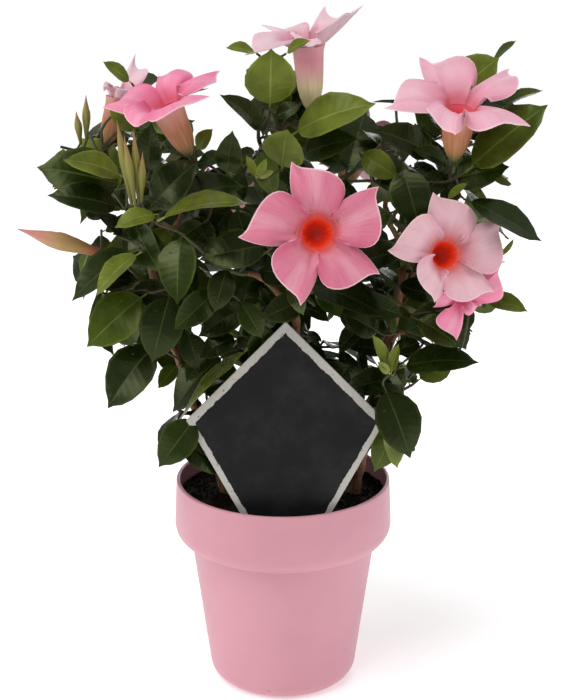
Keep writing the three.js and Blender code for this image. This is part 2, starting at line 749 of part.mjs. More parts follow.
// Leafy sprays
for (const spray of SPRAYS) {
  const { twigs, leaves } = growSpray(spray, cellOf(spray, SPRAYS), marks);
  const solids = [
    ...twigs.map((twig) => solidOf(taperedTube(twig.curve, twig.radiusAt, twig.sides, twig.steps))),
    ...leaves.map((leaf) => solidOf(leafGeometry(leaf))),
  ];
  const joined = mainBody(wasm.Manifold.union(solids));
  plant.add(node(`foliage_${spray.name}`, geometryOf(joined), COLOURS.leaf, 0.4));
}

export default plant;
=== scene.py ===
import itertools
import json
import math

import bpy
import numpy as np
from mathutils import Matrix, Vector

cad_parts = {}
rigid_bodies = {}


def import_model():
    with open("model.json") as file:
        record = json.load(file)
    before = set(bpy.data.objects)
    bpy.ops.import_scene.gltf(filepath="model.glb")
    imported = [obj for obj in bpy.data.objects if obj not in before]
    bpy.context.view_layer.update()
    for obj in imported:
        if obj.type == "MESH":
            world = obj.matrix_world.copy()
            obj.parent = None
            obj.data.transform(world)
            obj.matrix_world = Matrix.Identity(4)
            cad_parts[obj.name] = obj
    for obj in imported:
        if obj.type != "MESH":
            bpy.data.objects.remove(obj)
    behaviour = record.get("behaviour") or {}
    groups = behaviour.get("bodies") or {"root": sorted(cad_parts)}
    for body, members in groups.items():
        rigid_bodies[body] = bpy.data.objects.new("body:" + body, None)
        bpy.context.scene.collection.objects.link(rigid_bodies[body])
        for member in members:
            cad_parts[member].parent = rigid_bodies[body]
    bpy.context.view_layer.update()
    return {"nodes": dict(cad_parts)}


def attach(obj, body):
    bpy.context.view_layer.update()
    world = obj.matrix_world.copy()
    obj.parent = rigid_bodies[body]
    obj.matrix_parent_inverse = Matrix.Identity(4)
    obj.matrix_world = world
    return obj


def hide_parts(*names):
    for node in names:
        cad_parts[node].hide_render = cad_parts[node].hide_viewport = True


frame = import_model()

# Potted mandevilla: a pink pot of compost with a blank slate label, woody stems, glossy leaves and
# trumpet blooms. Shapes are worked out in millimetres and become metres as their meshes are made.
mm = 0.001
up = np.array([0.0, 0.0, 1.0])
nodeNames = sorted(frame["nodes"])


# Node trees

class Sock:
    # one output of a node, and every operator on it adds a Math node
    def __init__(self, graph, socket):
        self.graph = graph
        self.socket = socket

    def other(self, key):
        return Sock(self.graph, self.socket.node.outputs[key])

    def math(self, operation, *rest):
        return self.graph.math(operation, self, *rest)

    def __add__(self, other):
        return self.graph.math("ADD", self, other)

    def __sub__(self, other):
        return self.graph.math("SUBTRACT", self, other)

    def __rsub__(self, other):
        return self.graph.math("SUBTRACT", other, self)

    def __mul__(self, other):
        return self.graph.math("MULTIPLY", self, other)

    __radd__ = __add__
    __rmul__ = __mul__


class Graph:
    def __init__(self, tree):
        self.tree = tree

    def node(self, kind, settings=None, values=None, out=0):
        made = self.tree.nodes.new(kind)
        for name, value in (settings or {}).items():
            if name == "stops":
                setStops(made.color_ramp, value)
            else:
                setattr(made, name, value)
        for key, value in (values or {}).items():
            if isinstance(value, Sock):
                self.tree.links.new(value.socket, made.inputs[key])
            else:
                made.inputs[key].default_value = value
        return Sock(self, made.outputs[out]) if len(made.outputs) else made

    def math(self, operation, *values):
        return self.node("ShaderNodeMath", {"operation": operation}, dict(enumerate(values)))

    def mix(self, share, first, second):
        first, second = (c if isinstance(c, Sock) else rgba(c) for c in (first, second))
        return self.node("ShaderNodeMix", {"data_type": "RGBA"}, {0: share, 6: first, 7: second}, 2)

    def ramp(self, share, stops):
        return self.node("ShaderNodeValToRGB", {"stops": stops}, {0: share})

    def step(self, value, low, high):
        limits = {"Value": value, "From Min": low, "From Max": high}
        return self.node("ShaderNodeMapRange", {"interpolation_type": "SMOOTHSTEP"}, limits)

    def noise(self, place, scale, detail=3.0, roughness=0.5):
        values = {"Vector": place, "Scale": scale, "Detail": detail, "Roughness": roughness}
        return self.node("ShaderNodeTexNoise", None, values)

    def place(self):
        return self.node("ShaderNodeTexCoord", None, None, "Object")

    def uv(self):
        return self.node("ShaderNodeUVMap", {"uv_map": "UVMap"})

    def stretched(self, place, scale):
        return self.node("ShaderNodeVectorMath", {"operation": "MULTIPLY"}, {0: place, 1: scale})

    def axes(self, place):
        split = self.node("ShaderNodeSeparateXYZ", None, {0: place})
        return split, split.other("Y"), split.other("Z")

    def bump(self, height, strength, distance):
        values = {"Height": height, "Strength": strength, "Distance": distance}
        return self.node("ShaderNodeBump", None, values)


def rgba(colour):
    return (*colour, 1.0)


def setStops(ramp, stops):
    ramp.elements[0].position, ramp.elements[-1].position = stops[0][0], stops[-1][0]
    ramp.elements[0].color, ramp.elements[-1].color = rgba(stops[0][1]), rgba(stops[-1][1])
    for place, colour in stops[1:-1]:
        ramp.elements.new(place).color = rgba(colour)


# A material from the constants on its shader and a function that gives what varies over the surface
def finish(name, constants, paint):
    made = bpy.data.materials.new(name)
    made.use_nodes = True
    shader = made.node_tree.nodes["Principled BSDF"]
    for socket, value in constants.items():
        shader.inputs[socket].default_value = value
    for socket, value in paint(Graph(made.node_tree)).items():
        made.node_tree.links.new(value.socket, shader.inputs[socket])
    return made


# A colour with roughness and relief that follow one pattern
def coated(graph, colour, pattern, relief):
    vary, least, strength, depth = relief
    return {"Base Color": colour, "Roughness": pattern * vary + least,
            "Normal": graph.bump(pattern, strength, depth)}


def geometryTree(name, sizes):
    tree = bpy.data.node_groups.new(name, "GeometryNodeTree")
    tree.interface.new_socket("Geometry", in_out="INPUT", socket_type="NodeSocketGeometry")
    for label, kind in sizes.items():
        tree.interface.new_socket(label, in_out="INPUT", socket_type="NodeSocket" + kind)
    tree.interface.new_socket("Geometry", in_out="OUTPUT", socket_type="NodeSocketGeometry")
    graph = Graph(tree)
    entry = graph.node("NodeGroupInput")
    return graph, {label: entry.other(label) for label in ["Geometry", *sizes]}


# Ends a tree, with what it has grown in one material if that is given
def closeTree(graph, geometry, material=None):
    if material:
        geometry = graph.node("GeometryNodeRealizeInstances", None, {0: geometry})
        geometry = graph.node("GeometryNodeSetMaterial", None, {"Geometry": geometry, "Material": material})
    graph.node("NodeGroupOutput", None, {0: geometry})
    return graph.tree


def attribute(graph, name, kind="FLOAT"):
    return graph.node("GeometryNodeInputNamedAttribute", {"data_type": kind}, {"Name": name})


# Runs a tree on a mesh and keeps the result as a plain mesh
def grownObject(name, mesh, tree, values):
    host = bpy.data.objects.new(name, mesh)
    bpy.context.scene.collection.objects.link(host)
    modifier = host.modifiers.new("Growth", "NODES")
    modifier.node_group = tree
    for item in tree.interface.items_tree:
        if item.in_out == "INPUT" and item.name in values:
            modifier[item.identifier] = values[item.name]
    bpy.context.view_layer.update()
    evaluated = host.evaluated_get(bpy.context.evaluated_depsgraph_get())
    plain = bpy.data.meshes.new_from_object(evaluated)
    host.modifiers.remove(modifier)
    host.data = plain
    return host


def keep(obj, nodes):
    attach(obj, "root")
    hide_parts(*nodes)
    return obj


# Meshes from arrays

class Shape:
    # points in millimetres with faces, UVs and material slots
    def __init__(self):
        self.points = []
        self.faces = []
        self.uvs = []
        self.slots = []

    def face(self, corners, uvs, slot):
        self.faces.append([int(c) for c in corners])
        self.uvs.extend(uvs)
        self.slots.append(slot)

    # Rows of points; a wrapped grid joins its last column to its first and has one more column of UVs
    def grid(self, points, uv, slot=0, wrap=False, flip=False):
        rows, columns = points.shape[:2]
        index = len(self.points) + np.arange(rows * columns).reshape(rows, columns)
        self.points.extend(points.reshape(-1, 3))
        for i in range(rows - 1):
            for j in range(columns if wrap else columns - 1):
                corners = [(i, j), (i, j + 1), (i + 1, j + 1), (i + 1, j)]
                if flip:
                    corners.reverse()
                self.face([index[r, c % columns] for r, c in corners], [uv[r][c] for r, c in corners], slot)
        return index

    # Closes a ring of points with a fan round its middle
    def fan(self, ring, slot, flip=False):
        middle = len(self.points)
        self.points.append(np.mean([self.points[i] for i in ring], axis=0))
        for a, b in zip(ring, np.roll(ring, -1)):
            self.face([a, middle, b] if flip else [a, b, middle], [(0.5, 0.0)] * 3, slot)

    # A thin sheet with a front, a back and a rim
    def sheet(self, points, uv, thickness, slots):
        across = np.gradient(points, axis=1)
        outward = np.gradient(points, axis=0)
        normal = np.cross(outward, across)
        normal /= np.linalg.norm(normal, axis=2, keepdims=True)
        front = self.grid(points, uv, slots[0], flip=True)
        back = self.grid(points - thickness * normal, uv, slots[1])
        fore, aft, edge = (np.concatenate([g[0], g[1:, -1], g[-1, -2::-1], g[-2:0:-1, 0]])
                           for g in (front, back, np.array(uv)))
        for k in range(len(edge)):
            n = (k + 1) % len(edge)
            self.face([fore[k], fore[n], aft[n], aft[k]], [edge[k], edge[n], edge[n], edge[k]], slots[0])

    def mesh(self, name, materials, sharpAngle=50):
        made = bpy.data.meshes.new(name)
        made.from_pydata((np.array(self.points) * mm).tolist(), [], self.faces)
        layer = made.uv_layers.new(name="UVMap")
        layer.data.foreach_set("uv", np.array(self.uvs, dtype=np.float32).ravel())
        made.polygons.foreach_set("material_index", self.slots)
        made.polygons.foreach_set("use_smooth", [True] * len(self.faces))
        made.set_sharp_from_angle(angle=math.radians(sharpAngle))
        for material in materials:
            made.materials.append(material)
        return made

    def object(self, name, materials, sharpAngle=50):
        made = bpy.data.objects.new(name, self.mesh(name, materials, sharpAngle))
        bpy.context.scene.collection.objects.link(made)
        return made


def gridUv(rows, columns):
    return [[(c / (columns - 1), r / (rows - 1)) for c in range(columns)] for r in range(rows)]


# Points of a profile of radius and height turned about Z, wound so that the outside faces out
def turned(profile, sides):
    angles = np.arange(sides) * 2 * math.pi / sides
    profile = np.array(profile, dtype=float)
    x = profile[:, :1] * np.cos(angles)
    y = profile[:, :1] * np.sin(angles)
    z = np.repeat(profile[:, 1:], sides, axis=1)
    return np.stack([x, y, z], axis=2)


def arc(middle, radii, start, end, steps):
    angles = np.radians(np.linspace(start, end, steps + 1))
    return [(middle[0] + radii[0] * math.cos(a), middle[1] + radii[1] * math.sin(a)) for a in angles]


# A closed solid turned about Z
def turnedShape(profile, sides):
    shape = Shape()
    rows = shape.grid(turned(profile, sides), gridUv(len(profile), sides + 1), wrap=True)
    shape.fan(rows[0], 0, flip=True)
    shape.fan(rows[-1], 0)
    return shape


print("helpers ready")


# The growth rule of the part's source, in its units and with its order of throws

def unit(v):
    return v / np.linalg.norm(v)


def turnedAbout(v, axis, angle):
    side = np.cross(axis, v)
    return v * math.cos(angle) + side * math.sin(angle) + axis * (axis @ v) * (1 - math.cos(angle))


class Dice:
    # a linear congruential generator
    factor, addend, span = 1664525, 1013904223, 2 ** 32

    def __init__(self, seed):
        self.state = seed

    def throw(self):
        self.state = (self.state * self.factor + self.addend) % self.span
        return self.state / self.span

    def centred(self):
        return 2 * self.throw() - 1

    def ball(self):
        return np.array([self.centred(), self.centred(), self.centred()])


class Path:
    # a curve that is read by the share of its length
    samples, nudge = 201, 0.0001

    def __init__(self, pointAt):
        self.pointAt = pointAt
        self.shares = np.linspace(0, 1, self.samples)
        points = np.array([pointAt(t) for t in self.shares])
        steps = np.linalg.norm(np.diff(points, axis=0), axis=1)
        self.lengths = np.concatenate([[0], np.cumsum(steps)])
        self.length = self.lengths[-1]

    def share(self, u):
        return float(np.interp(u * self.length, self.lengths, self.shares))

    def at(self, u):
        return self.pointAt(self.share(u))

    def heading(self, u):
        t = self.share(u)
        return unit(self.pointAt(min(t + self.nudge, 1)) - self.pointAt(max(t - self.nudge, 0)))


# Centripetal Catmull-Rom curve
def smoothPath(points):
    last = len(points) - 1
    spans = [points[0] * 2 - points[1], *points, points[last] * 2 - points[last - 1]]

    def pointAt(t):
        i = min(int(last * t), last - 1)
        w = last * t - i
        a, b, c, d = spans[i:i + 4]
        knots = ((a, b), (b, c), (c, d))
        before, between, after = (max(np.sum((q - p) ** 2), 1e-9) ** 0.25 for p, q in knots)
        leave = ((b - a) / before - (c - a) / (before + between) + (c - b) / between) * between
        reach = ((c - b) / between - (d - b) / (between + after) + (d - c) / after) * between
        square = -3 * b + 3 * c - 2 * leave - reach
        cube = 2 * b - 2 * c + leave + reach
        return b + leave * w + square * w * w + cube * w ** 3

    return Path(pointAt)


def bentPath(a, b, c, d):
    return Path(lambda t: a * (1 - t) ** 3 + 3 * b * t * (1 - t) ** 2 + 3 * c * t * t * (1 - t) + d * t ** 3)


potSizes = {
    "height": 168, "rim": 85, "lip": 83.5, "band": 49, "shoulder": 13,
    "bodyTop": 72.5, "bodyBottom": 58.5, "corner": 15, "wall": 3.2, "floor": 4,
    "soilTop": 154, "gap": 0.3,
}
labelSizes = {
    "x": 2, "y": -62, "half": 73.5, "apex": 313, "widest": 237, "footHalf": 30, "thickness": 1.4,
    "spikeHalf": 7, "spikeDepth": 55, "spikeTip": 1, "neck": 12, "footRise": 1, "behind": 5,
}
growth = {
    "seed": 134, "footDepth": 10, "flare": 1.8, "flareHeight": 7,
    "boughBase": 2.4, "boughRise": 0.6, "boughReach": 0.35,
    "twigBase": 1.8, "twigTip": 1.0, "straight": 5, "internode": 20, "shorten": 0.1, "lift": 0.1,
    "wander": 0.22, "twigClear": 3, "fork": 8, "axil": 3, "sproutTurn": 0.9, "sproutRise": 0.9,
    "sideNodes": 2, "sideShare": 0.8,
    "leafWidth": 0.6, "fold": 0.26, "bend": 0.75, "stalk": 0.1, "sunk": 0.6, "leafClear": 2.2,
    "tries": 10, "swing": 0.3, "swingMore": 0.25, "shrink": 0.06, "rise": 0.2, "riseSpread": 0.5,
    "sizeSpread": 0.14, "tumble": 0.47,
    "crownHalf": (190, 166, 270), "crownMiddle": 403, "crownBottom": 190, "share": 10, "cellMiddle": 0.62,
    "bloomStalk": 1.5, "clearAhead": 26, "seedStep": 37, "cellMargin": 3, "twigStep": 5, "limbStep": 3,
    "twigChecks": (0.3, 0.65, 1), "potClear": 3, "wallClear": 4, "labelClear": 4,
}
# Finer shoots, which only this script grows, in the axils of the source's twigs
fineGrowth = {
    "nodes": 2, "internode": 15, "base": 1.0, "leaf": 0.86, "turns": (2.3, 4.3, 0.5), "fork": 11,
    "outward": (0.6, 1.4, 0), "finest": 0.74,
    "stemFrom": 0.14, "stemStep": 11, "stemTurn": 2.4, "stemRise": 0.35, "stemLeaf": 0.92, "stemBase": 1.2,
    "stemReach": 25, "tipLeaf": (13, 21), "tipSpread": 0.5, "tipRise": 0.25, "tipSunk": 0.5, "tipShare": 0.45,
    "tipSeed": 900, "tipSeedStep": 53,
}

# Leaf shapes: fold along the midrib, bend along the length, twist, curl of the edges, waves, width
leafShapes = [
    {"fold": 0.26, "bend": 0.75, "twist": 0.08, "curl": 0.10, "wave": 0.012, "width": 0.60},
    {"fold": 0.22, "bend": 0.70, "twist": -0.10, "curl": 0.14, "wave": 0.016, "width": 0.66},
    {"fold": 0.30, "bend": 0.80, "twist": 0.12, "curl": 0.06, "wave": 0.010, "width": 0.56},
    {"fold": 0.24, "bend": 0.72, "twist": -0.05, "curl": 0.16, "wave": 0.018, "width": 0.63},
    {"fold": 0.28, "bend": 0.68, "twist": -0.14, "curl": 0.08, "wave": 0.012, "width": 0.58},
    {"fold": 0.60, "bend": -0.25, "twist": 0.10, "curl": 0.05, "wave": 0.004, "width": 0.34},
    {"fold": 0.14, "bend": 0.30, "twist": 0.05, "curl": 0.16, "wave": 0.012, "width": 0.84},
    {"fold": 0.20, "bend": 0.22, "twist": 0.08, "curl": 0.10, "wave": 0.014, "width": 0.56},
]
commonShapes = 5  # the last three are for young tips, round leaves and straight ones
youngShape = commonShapes
leafGloss = {
    "top": 0.27, "rib": 0.42, "under": 0.55, "rim": 0.36, "veins": 10.0, "veinSlant": 2.6, "grow": 1.06,
    "tint": (0.78, 0.86, 0.42, 1.0), "cloud": 70, "darker": 0.72, "lighter": 1.3, "grain": 900,
    "sheen": 120, "depth": 0.0006,
}

stems = {
    "stem_left": {"foot": (-41, 3), "tip": (-106, -26, 374), "bow": (-3, 3, 0), "base": 4.6, "end": 2.7},
    "stem_right": {"foot": (53, 2), "tip": (98, -27, 388), "bow": (2, 4, 0), "base": 4.6, "end": 2.7},
    "stem_middle": {"foot": (-4, 20), "tip": (-14, -6, 420), "bow": (6, 6, 0), "base": 4.4, "end": 2.5},
    "stem_back": {"foot": (10, 46), "tip": (-2, 80, 372), "bow": (3, 5, 0), "base": 4.4, "end": 2.5},
    "stem_front": {"foot": (15, -24), "tip": (8, -58, 336), "bow": (2, 2, 0), "base": 4.0, "end": 2.4},
}
# Name, stem, place on it, end of the bough, aim of the main twig, nodes, leaf length, droop
sprayRows = [
    ("upper_left", "stem_left", 1, None, (-128, -86, 412), 4, 56, 0.1),
    ("left_mid", "stem_left", 0.74, (-110, -42, 336), (-130, -74, 324), 4, 60, 0.5),
    ("left_low", "stem_left", 0.5, (-88, -36, 284), (-104, -66, 276), 4, 58, 0.5),
    ("lower_left", "stem_left", 0.26, (-64, -16, 228), (-86, -38, 228), 3, 56, 0.25),
    ("upper_left_inner", "stem_middle", 0.74, (-56, -26, 398), (-68, -72, 428), 3, 56, 0.1),
    ("top_middle", "stem_middle", 1, None, (-18, -54, 470), 3, 56, 0.05),
    ("middle_left", "stem_front", 0.86, (-26, -74, 352), (-66, -112, 362), 4, 56, 0.3),
    ("middle_right", "stem_middle", 0.68, (30, -44, 408), (58, -84, 436), 4, 56, 0.1),
    ("front_low", "stem_front", 1, None, (36, -108, 326), 4, 54, 0.4),
    ("upper_right", "stem_right", 1, None, (140, -48, 444), 4, 56, 0.05),
    ("right_inner", "stem_right", 0.82, (76, -54, 384), (70, -98, 398), 3, 56, 0.3),
    ("right_mid", "stem_right", 0.72, (120, -18, 358), (148, -46, 366), 4, 58, 0.3),
    ("lower_right", "stem_right", 0.48, (92, -42, 298), (112, -72, 296), 4, 58, 0.4),
    ("right_low", "stem_right", 0.24, (74, -16, 232), (92, -40, 232), 3, 54, 0.25),
    ("side_left", "stem_left", 0.62, (-104, 24, 318), (-128, 40, 320), 4, 58, 0.4),
    ("side_right", "stem_right", 0.6, (106, 24, 316), (130, 40, 322), 4, 58, 0.4),
    ("back_upper_left", "stem_left", 0.88, (-80, 34, 376), (-98, 68, 402), 3, 56, 0.1),
    ("back_upper_right", "stem_right", 0.88, (80, 34, 384), (98, 68, 410), 3, 56, 0.1),
    ("back_top", "stem_back", 1, None, (0, 96, 424), 3, 56, 0.1),
    ("back_left", "stem_back", 0.62, (-52, 84, 292), (-80, 100, 296), 3, 58, 0.4),
    ("back_right", "stem_back", 0.7, (54, 84, 302), (82, 100, 306), 3, 58, 0.4),
    ("back_low", "stem_back", 0.34, (2, 76, 232), (-2, 98, 236), 3, 56, 0.25),
]
# Heads: middle of the mouth, facing, reach, tube length, opening, turn, palette. Buds: root, tip, width
bloomRows = {
    "bloom_front": ("stem_middle", 0.76, [
        ((24, -150, 400), (0.12, -0.94, 0.25), 46, 46, 1, 0.87, "rose")], []),
    "bloom_right": ("stem_right", 0.84, [
        ((119, -116, 376), (0.2, -0.92, 0.28), 43, 46, 0.9, 1.1, "pale"),
        ((126, -118, 339), (0.1, -0.85, -0.4), 29, 34, 0.9, 0.1, "deep")], []),
    "bloom_upper_right": ("stem_right", 0.97, [
        ((119, -106, 479), (0.03, -0.34, 0.94), 47, 48, 0.85, 1.2, "blush")], []),
    "bloom_upper_left": ("stem_left", 0.94, [
        ((-81, -86, 481), (-0.22, -0.34, 0.9), 43, 48, 1, 0.8, "deep"),
        ((-102, -36, 484), (-0.3, 0.1, 0.94), 36, 42, 0.75, 0.2, "white")], []),
    "bloom_top": ("stem_middle", 0.8, [
        ((13, -40, 503), (-0.08, -0.02, 0.99), 45, 44, 0.6, 1.2, "white")], []),
    "bud_left": ("bough_left_mid", 0.6, [], [((-124, -62, 362), (-187, -76, 385), 14)]),
    "bloom_back_left": ("stem_back", 0.84, [
        ((-58, 158, 344), (-0.3, 0.9, 0.3), 44, 46, 0.95, 0.1, "rose")], []),
    "bloom_back_right": ("stem_back", 0.92, [
        ((62, 132, 420), (0.3, 0.62, 0.72), 44, 46, 0.9, 0.5, "blush")], []),
}


def vec(p):
    return np.array(p, dtype=float)


class Limb:
    # a path with a radius along it
    def __init__(self, path, radiusAt):
        self.path = path
        self.radiusAt = radiusAt
        self.end = 1.0

    def marks(self, spacing):
        count = math.ceil(self.path.length / spacing)
        shares = np.arange(count + 1) / count
        return np.array([self.path.at(u) for u in shares]), np.array([self.radiusAt(u) for u in shares])


def stemLimb(row):
    low = vec((*row["foot"], potSizes["soilTop"] - growth["footDepth"]))
    high = vec(row["tip"])
    path = smoothPath([low, low + (high - low) * 0.5 + vec(row["bow"]), high])

    def radiusAt(u):
        rise = max(0, u * path.length - growth["footDepth"])
        taper = row["end"] + (row["base"] - row["end"]) * (1 - u)
        return taper + growth["flare"] * math.exp(-rise / growth["flareHeight"])

    return Limb(path, radiusAt)


def sideLimb(parent, at, end, heading, base, tip):
    root = parent.path.at(at)
    length = np.linalg.norm(root - end)
    along = parent.path.heading(at)
    rise = unit(along + (unit(end - root) - along) * growth["boughRise"])
    reach = length * growth["boughReach"]
    path = bentPath(root, root + rise * reach, end - heading * reach, end)
    return Limb(path, lambda u: base + (tip - base) * u)


class Marks:
    # points that later twigs and leaves keep clear of
    def __init__(self, room=200000):
        self.points = np.zeros((room, 3))
        self.radii = np.zeros(room)
        self.owners = np.zeros(room, dtype=int)
        self.count = 0

    def add(self, points, radii, owner=-1):
        end = self.count + len(points)
        self.points[self.count:end] = points
        self.radii[self.count:end] = radii
        self.owners[self.count:end] = owner
        self.count = end


# Half the width of a leaf's stalk and blade, how far the widest place lies to its base, and its fullness
leafOutline = {"stalk": 0.04, "blade": 0.46, "skew": 0.85, "full": 0.8}


def halfWidth(u):
    s = leafOutline
    blade = np.clip((np.asarray(u, dtype=float) - growth["stalk"]) / (1 - growth["stalk"]), 0, 1)
    wide = s["stalk"] + s["blade"] * np.clip(np.sin(np.pi * blade ** s["skew"]), 0, 1) ** s["full"]
    return np.where(blade <= 0, s["stalk"], wide)


def leafHeight(leaf, along, across):
    return -(leaf["bend"] * along / leaf["length"]) * along / 2 + np.abs(across) * leaf["fold"]


def leafPoints(leaf, shares, sides):
    along = shares * leaf["length"]
    across = sides * halfWidth(np.minimum(shares, 1)) * leaf["width"]
    lift = leafHeight(leaf, along, across)
    return (leaf["base"] + np.outer(along, leaf["axis"]) + np.outer(across, leaf["side"])
            + np.outer(lift, leaf["normal"]))


outlineShares = np.array([1.0] + [u for u in (growth["stalk"], 0.4, 0.74) for _ in range(3)])
outlineSides = np.array([0.0] + [-1, 0, 1] * 3)
markShares = np.repeat(0.2 + 0.1 * np.arange(9), 6)
markSides = np.tile([-1, -0.6, -0.2, 0.2, 0.6, 1], 9)


# Where points lie along and across a leaf, and how far off its blade
def besideLeaf(points, leaf):
    away = points - leaf["base"]
    along = away @ leaf["axis"]
    across = away @ leaf["side"]
    return along, across, np.abs(away @ leaf["normal"] - leafHeight(leaf, along, across))


def leafTouches(leaf, marks):
    points = marks.points[:marks.count]
    reach = marks.radii[:marks.count] + growth["leafClear"]
    away = points - leaf["base"]
    near = np.einsum("ij,ij->i", away, away) <= (leaf["length"] + reach) ** 2
    reach = reach[near]
    along, across, lift = besideLeaf(points[near], leaf)
    inside = (along >= leaf["length"] * growth["stalk"]) & (along <= leaf["length"] + reach)
    wide = halfWidth(np.minimum(1, along / leaf["length"])) * leaf["width"] + reach
    return bool(np.any(inside & (np.abs(across) <= wide) & (lift < reach)))


def inCrown(p):
    away = (p - vec((0, 0, growth["crownMiddle"]))) / vec(growth["crownHalf"])
    return away @ away < 1 and p[2] > growth["crownBottom"]


def clearOfPotAndLabel(p):
    radius = math.hypot(p[0], p[1])
    clear = growth["potClear"]
    overRim = p[2] > potSizes["height"] + clear
    inner = potSizes["lip"] - potSizes["wall"] - growth["wallClear"]
    insideRim = radius < inner and p[2] > potSizes["soilTop"] + clear
    if not overRim and not insideRim and radius < potSizes["rim"] + clear:
        return False
    if p[1] > labelSizes["y"] + labelSizes["behind"]:
        return True
    half, apex, widest, foot = (labelSizes[k] for k in ("half", "apex", "widest", "footHalf"))
    upper = half * (apex - p[2]) / (apex - widest)
    lower = foot + (half - foot) * (p[2] - potSizes["soilTop"]) / (widest - potSizes["soilTop"])
    aside = abs(p[0] - labelSizes["x"])
    return p[2] < potSizes["soilTop"] or aside > min(upper, lower) + growth["labelClear"]


class Spray:
    # one leafy spray, which keeps to the points that are nearer to its own middle than to another's
    def __init__(self, index, row, limbs):
        self.name, stem, at, end, aim, self.nodes, self.leaf, self.droop = row
        self.index = index
        parent = limbs[stem]
        start = vec(end) if end else parent.path.at(1)
        self.heading = unit(vec(aim) - start)
        self.start = self.heading if end else parent.path.heading(1)
        self.root = start + self.start * potSizes["gap"]
        self.middle = start + (vec(aim) - start) * growth["cellMiddle"]
        self.dice = Dice(growth["seed"] + growth["seedStep"] * index)
        self.tipDice = Dice(fineGrowth["tipSeed"] + fineGrowth["tipSeedStep"] * index)
        self.twigs = []
        self.leaves = []
        self.tips = []
        self.joints = []
        self.fineJoints = []
        if end:
            limbs["bough_" + self.name] = sideLimb(
                parent, at, start, self.heading, growth["boughBase"], growth["twigBase"])

    def settle(self, sprays, marks):
        others = [s.middle for s in sprays if s is not self]
        self.walls = np.array([unit(m - self.middle) for m in others])
        self.offsets = np.array([w @ (self.middle + m) / 2 for w, m in zip(self.walls, others)])
        self.marks = marks

    def holds(self, p, margin):
        return bool(np.all(self.walls @ p < self.offsets - margin)) and inCrown(p) and clearOfPotAndLabel(p)

    def tryLeaf(self, root, heading, out, size, fine):
        dice = self.dice
        for attempt in range(growth["tries"]):
            swing = dice.centred() * (growth["swing"] + growth["swingMore"] * attempt)
            rise = growth["rise"] + growth["riseSpread"] * dice.throw()
            spread = 1 + growth["sizeSpread"] * dice.centred()
            length = size * spread * (1 - growth["shrink"] * attempt)
            axis = unit(turnedAbout(out, heading, swing) + heading * rise - up * self.droop)
            outward = root * (fineGrowth["outward"] if fine else (1, 1, 0))
            toLight = unit(outward) + up + dice.ball() * growth["tumble"]
            normal = unit(toLight - axis * (toLight @ axis))
            leaf = {"base": root - axis * growth["sunk"], "axis": axis, "normal": normal, "fine": fine,
                    "side": np.cross(axis, normal), "length": length, "width": length * growth["leafWidth"],
                    "bend": growth["bend"], "fold": growth["fold"]}
            outline = leafPoints(leaf, outlineShares, outlineSides)
            if not all(self.holds(p, -growth["share"]) for p in outline):
                continue
            if leafTouches(leaf, self.marks):
                continue
            points = leafPoints(leaf, markShares, markSides)
            if fine and skyShare(points) > 0:
                continue
            self.leaves.append(leaf)
            self.marks.add(points, 1)
            return

    def blocked(self, last, following):
        steps = np.array([last + (following - last) * share for share in growth["twigChecks"]])
        foreign = self.marks.owners[:self.marks.count] != self.index
        points = self.marks.points[:self.marks.count][foreign]
        reach = self.marks.radii[:self.marks.count][foreign] + growth["twigClear"]
        return any(np.any(np.sum((points - p) ** 2, axis=1) < reach ** 2) for p in steps)

    def growTwig(self, root, start, towards, nodes, order, base, internode, size, fine=False):
        dice = self.dice
        points = [root, root + start * growth["straight"]]
        heading = towards
        joints = []
        roll = dice.throw() * math.pi
        for i in range(nodes):
            heading = unit(heading + up * growth["lift"] + dice.ball() * growth["wander"])
            following = points[-1] + heading * internode * (1 - growth["shorten"] * i)
            if not self.holds(following, growth["cellMargin"]) or self.blocked(points[-1], following):
                break
            points.append(following)
            joints.append((following, heading, roll))
            roll += math.pi / 2
        if not joints:
            return
        twig = Limb(smoothPath(points), lambda u: base + (growth["twigTip"] - base) * u)
        twig.fine = fine
        leavesBefore = len(self.leaves)
        self.twigs.append(twig)
        self.marks.add(*twig.marks(growth["twigStep"]), owner=self.index)
        for i, (point, along, turn) in enumerate(joints):
            out = turnedAbout(unit(np.cross(along, up)), along, turn)
            if order > 0 and i < len(joints) - 1:
                sprout = unit(turnedAbout(out, along, growth["sproutTurn"]) + along * growth["sproutRise"])
                self.growTwig(point - along * growth["fork"], sprout, sprout, growth["sideNodes"], order - 1,
                              growth["twigBase"] * growth["sideShare"], internode, size, fine)
            axil = point - along * growth["axil"]
            self.tryLeaf(axil, along, out, size, fine)
            self.tryLeaf(axil, along, -out, size, fine)
            (self.fineJoints if fine else self.joints).append((point, along, out))
        if fine and len(self.leaves) == leavesBefore:
            self.twigs.remove(twig)  # a bare shoot isn't kept
        elif not fine:
            self.addTip(*joints[-1])

    # a pair of narrow young leaves at a twig's end
    def addTip(self, point, along, turn):
        if self.tipDice.throw() > fineGrowth["tipShare"]:
            return
        out = turnedAbout(unit(np.cross(along, up)), along, turn + math.pi / 2)
        low, high = fineGrowth["tipLeaf"]
        for side in (out, -out):
            length = low + (high - low) * self.tipDice.throw()
            axis = unit(along + side * fineGrowth["tipSpread"] + up * fineGrowth["tipRise"])
            normal = unit(along - axis * (along @ axis))
            base = point - along * fineGrowth["tipSunk"]
            self.tips.append({"base": base, "axis": axis, "normal": normal, "length": length})

    def grow(self):
        self.growTwig(self.root, self.start, self.heading, self.nodes, 1, growth["twigBase"],
                      growth["internode"], self.leaf)

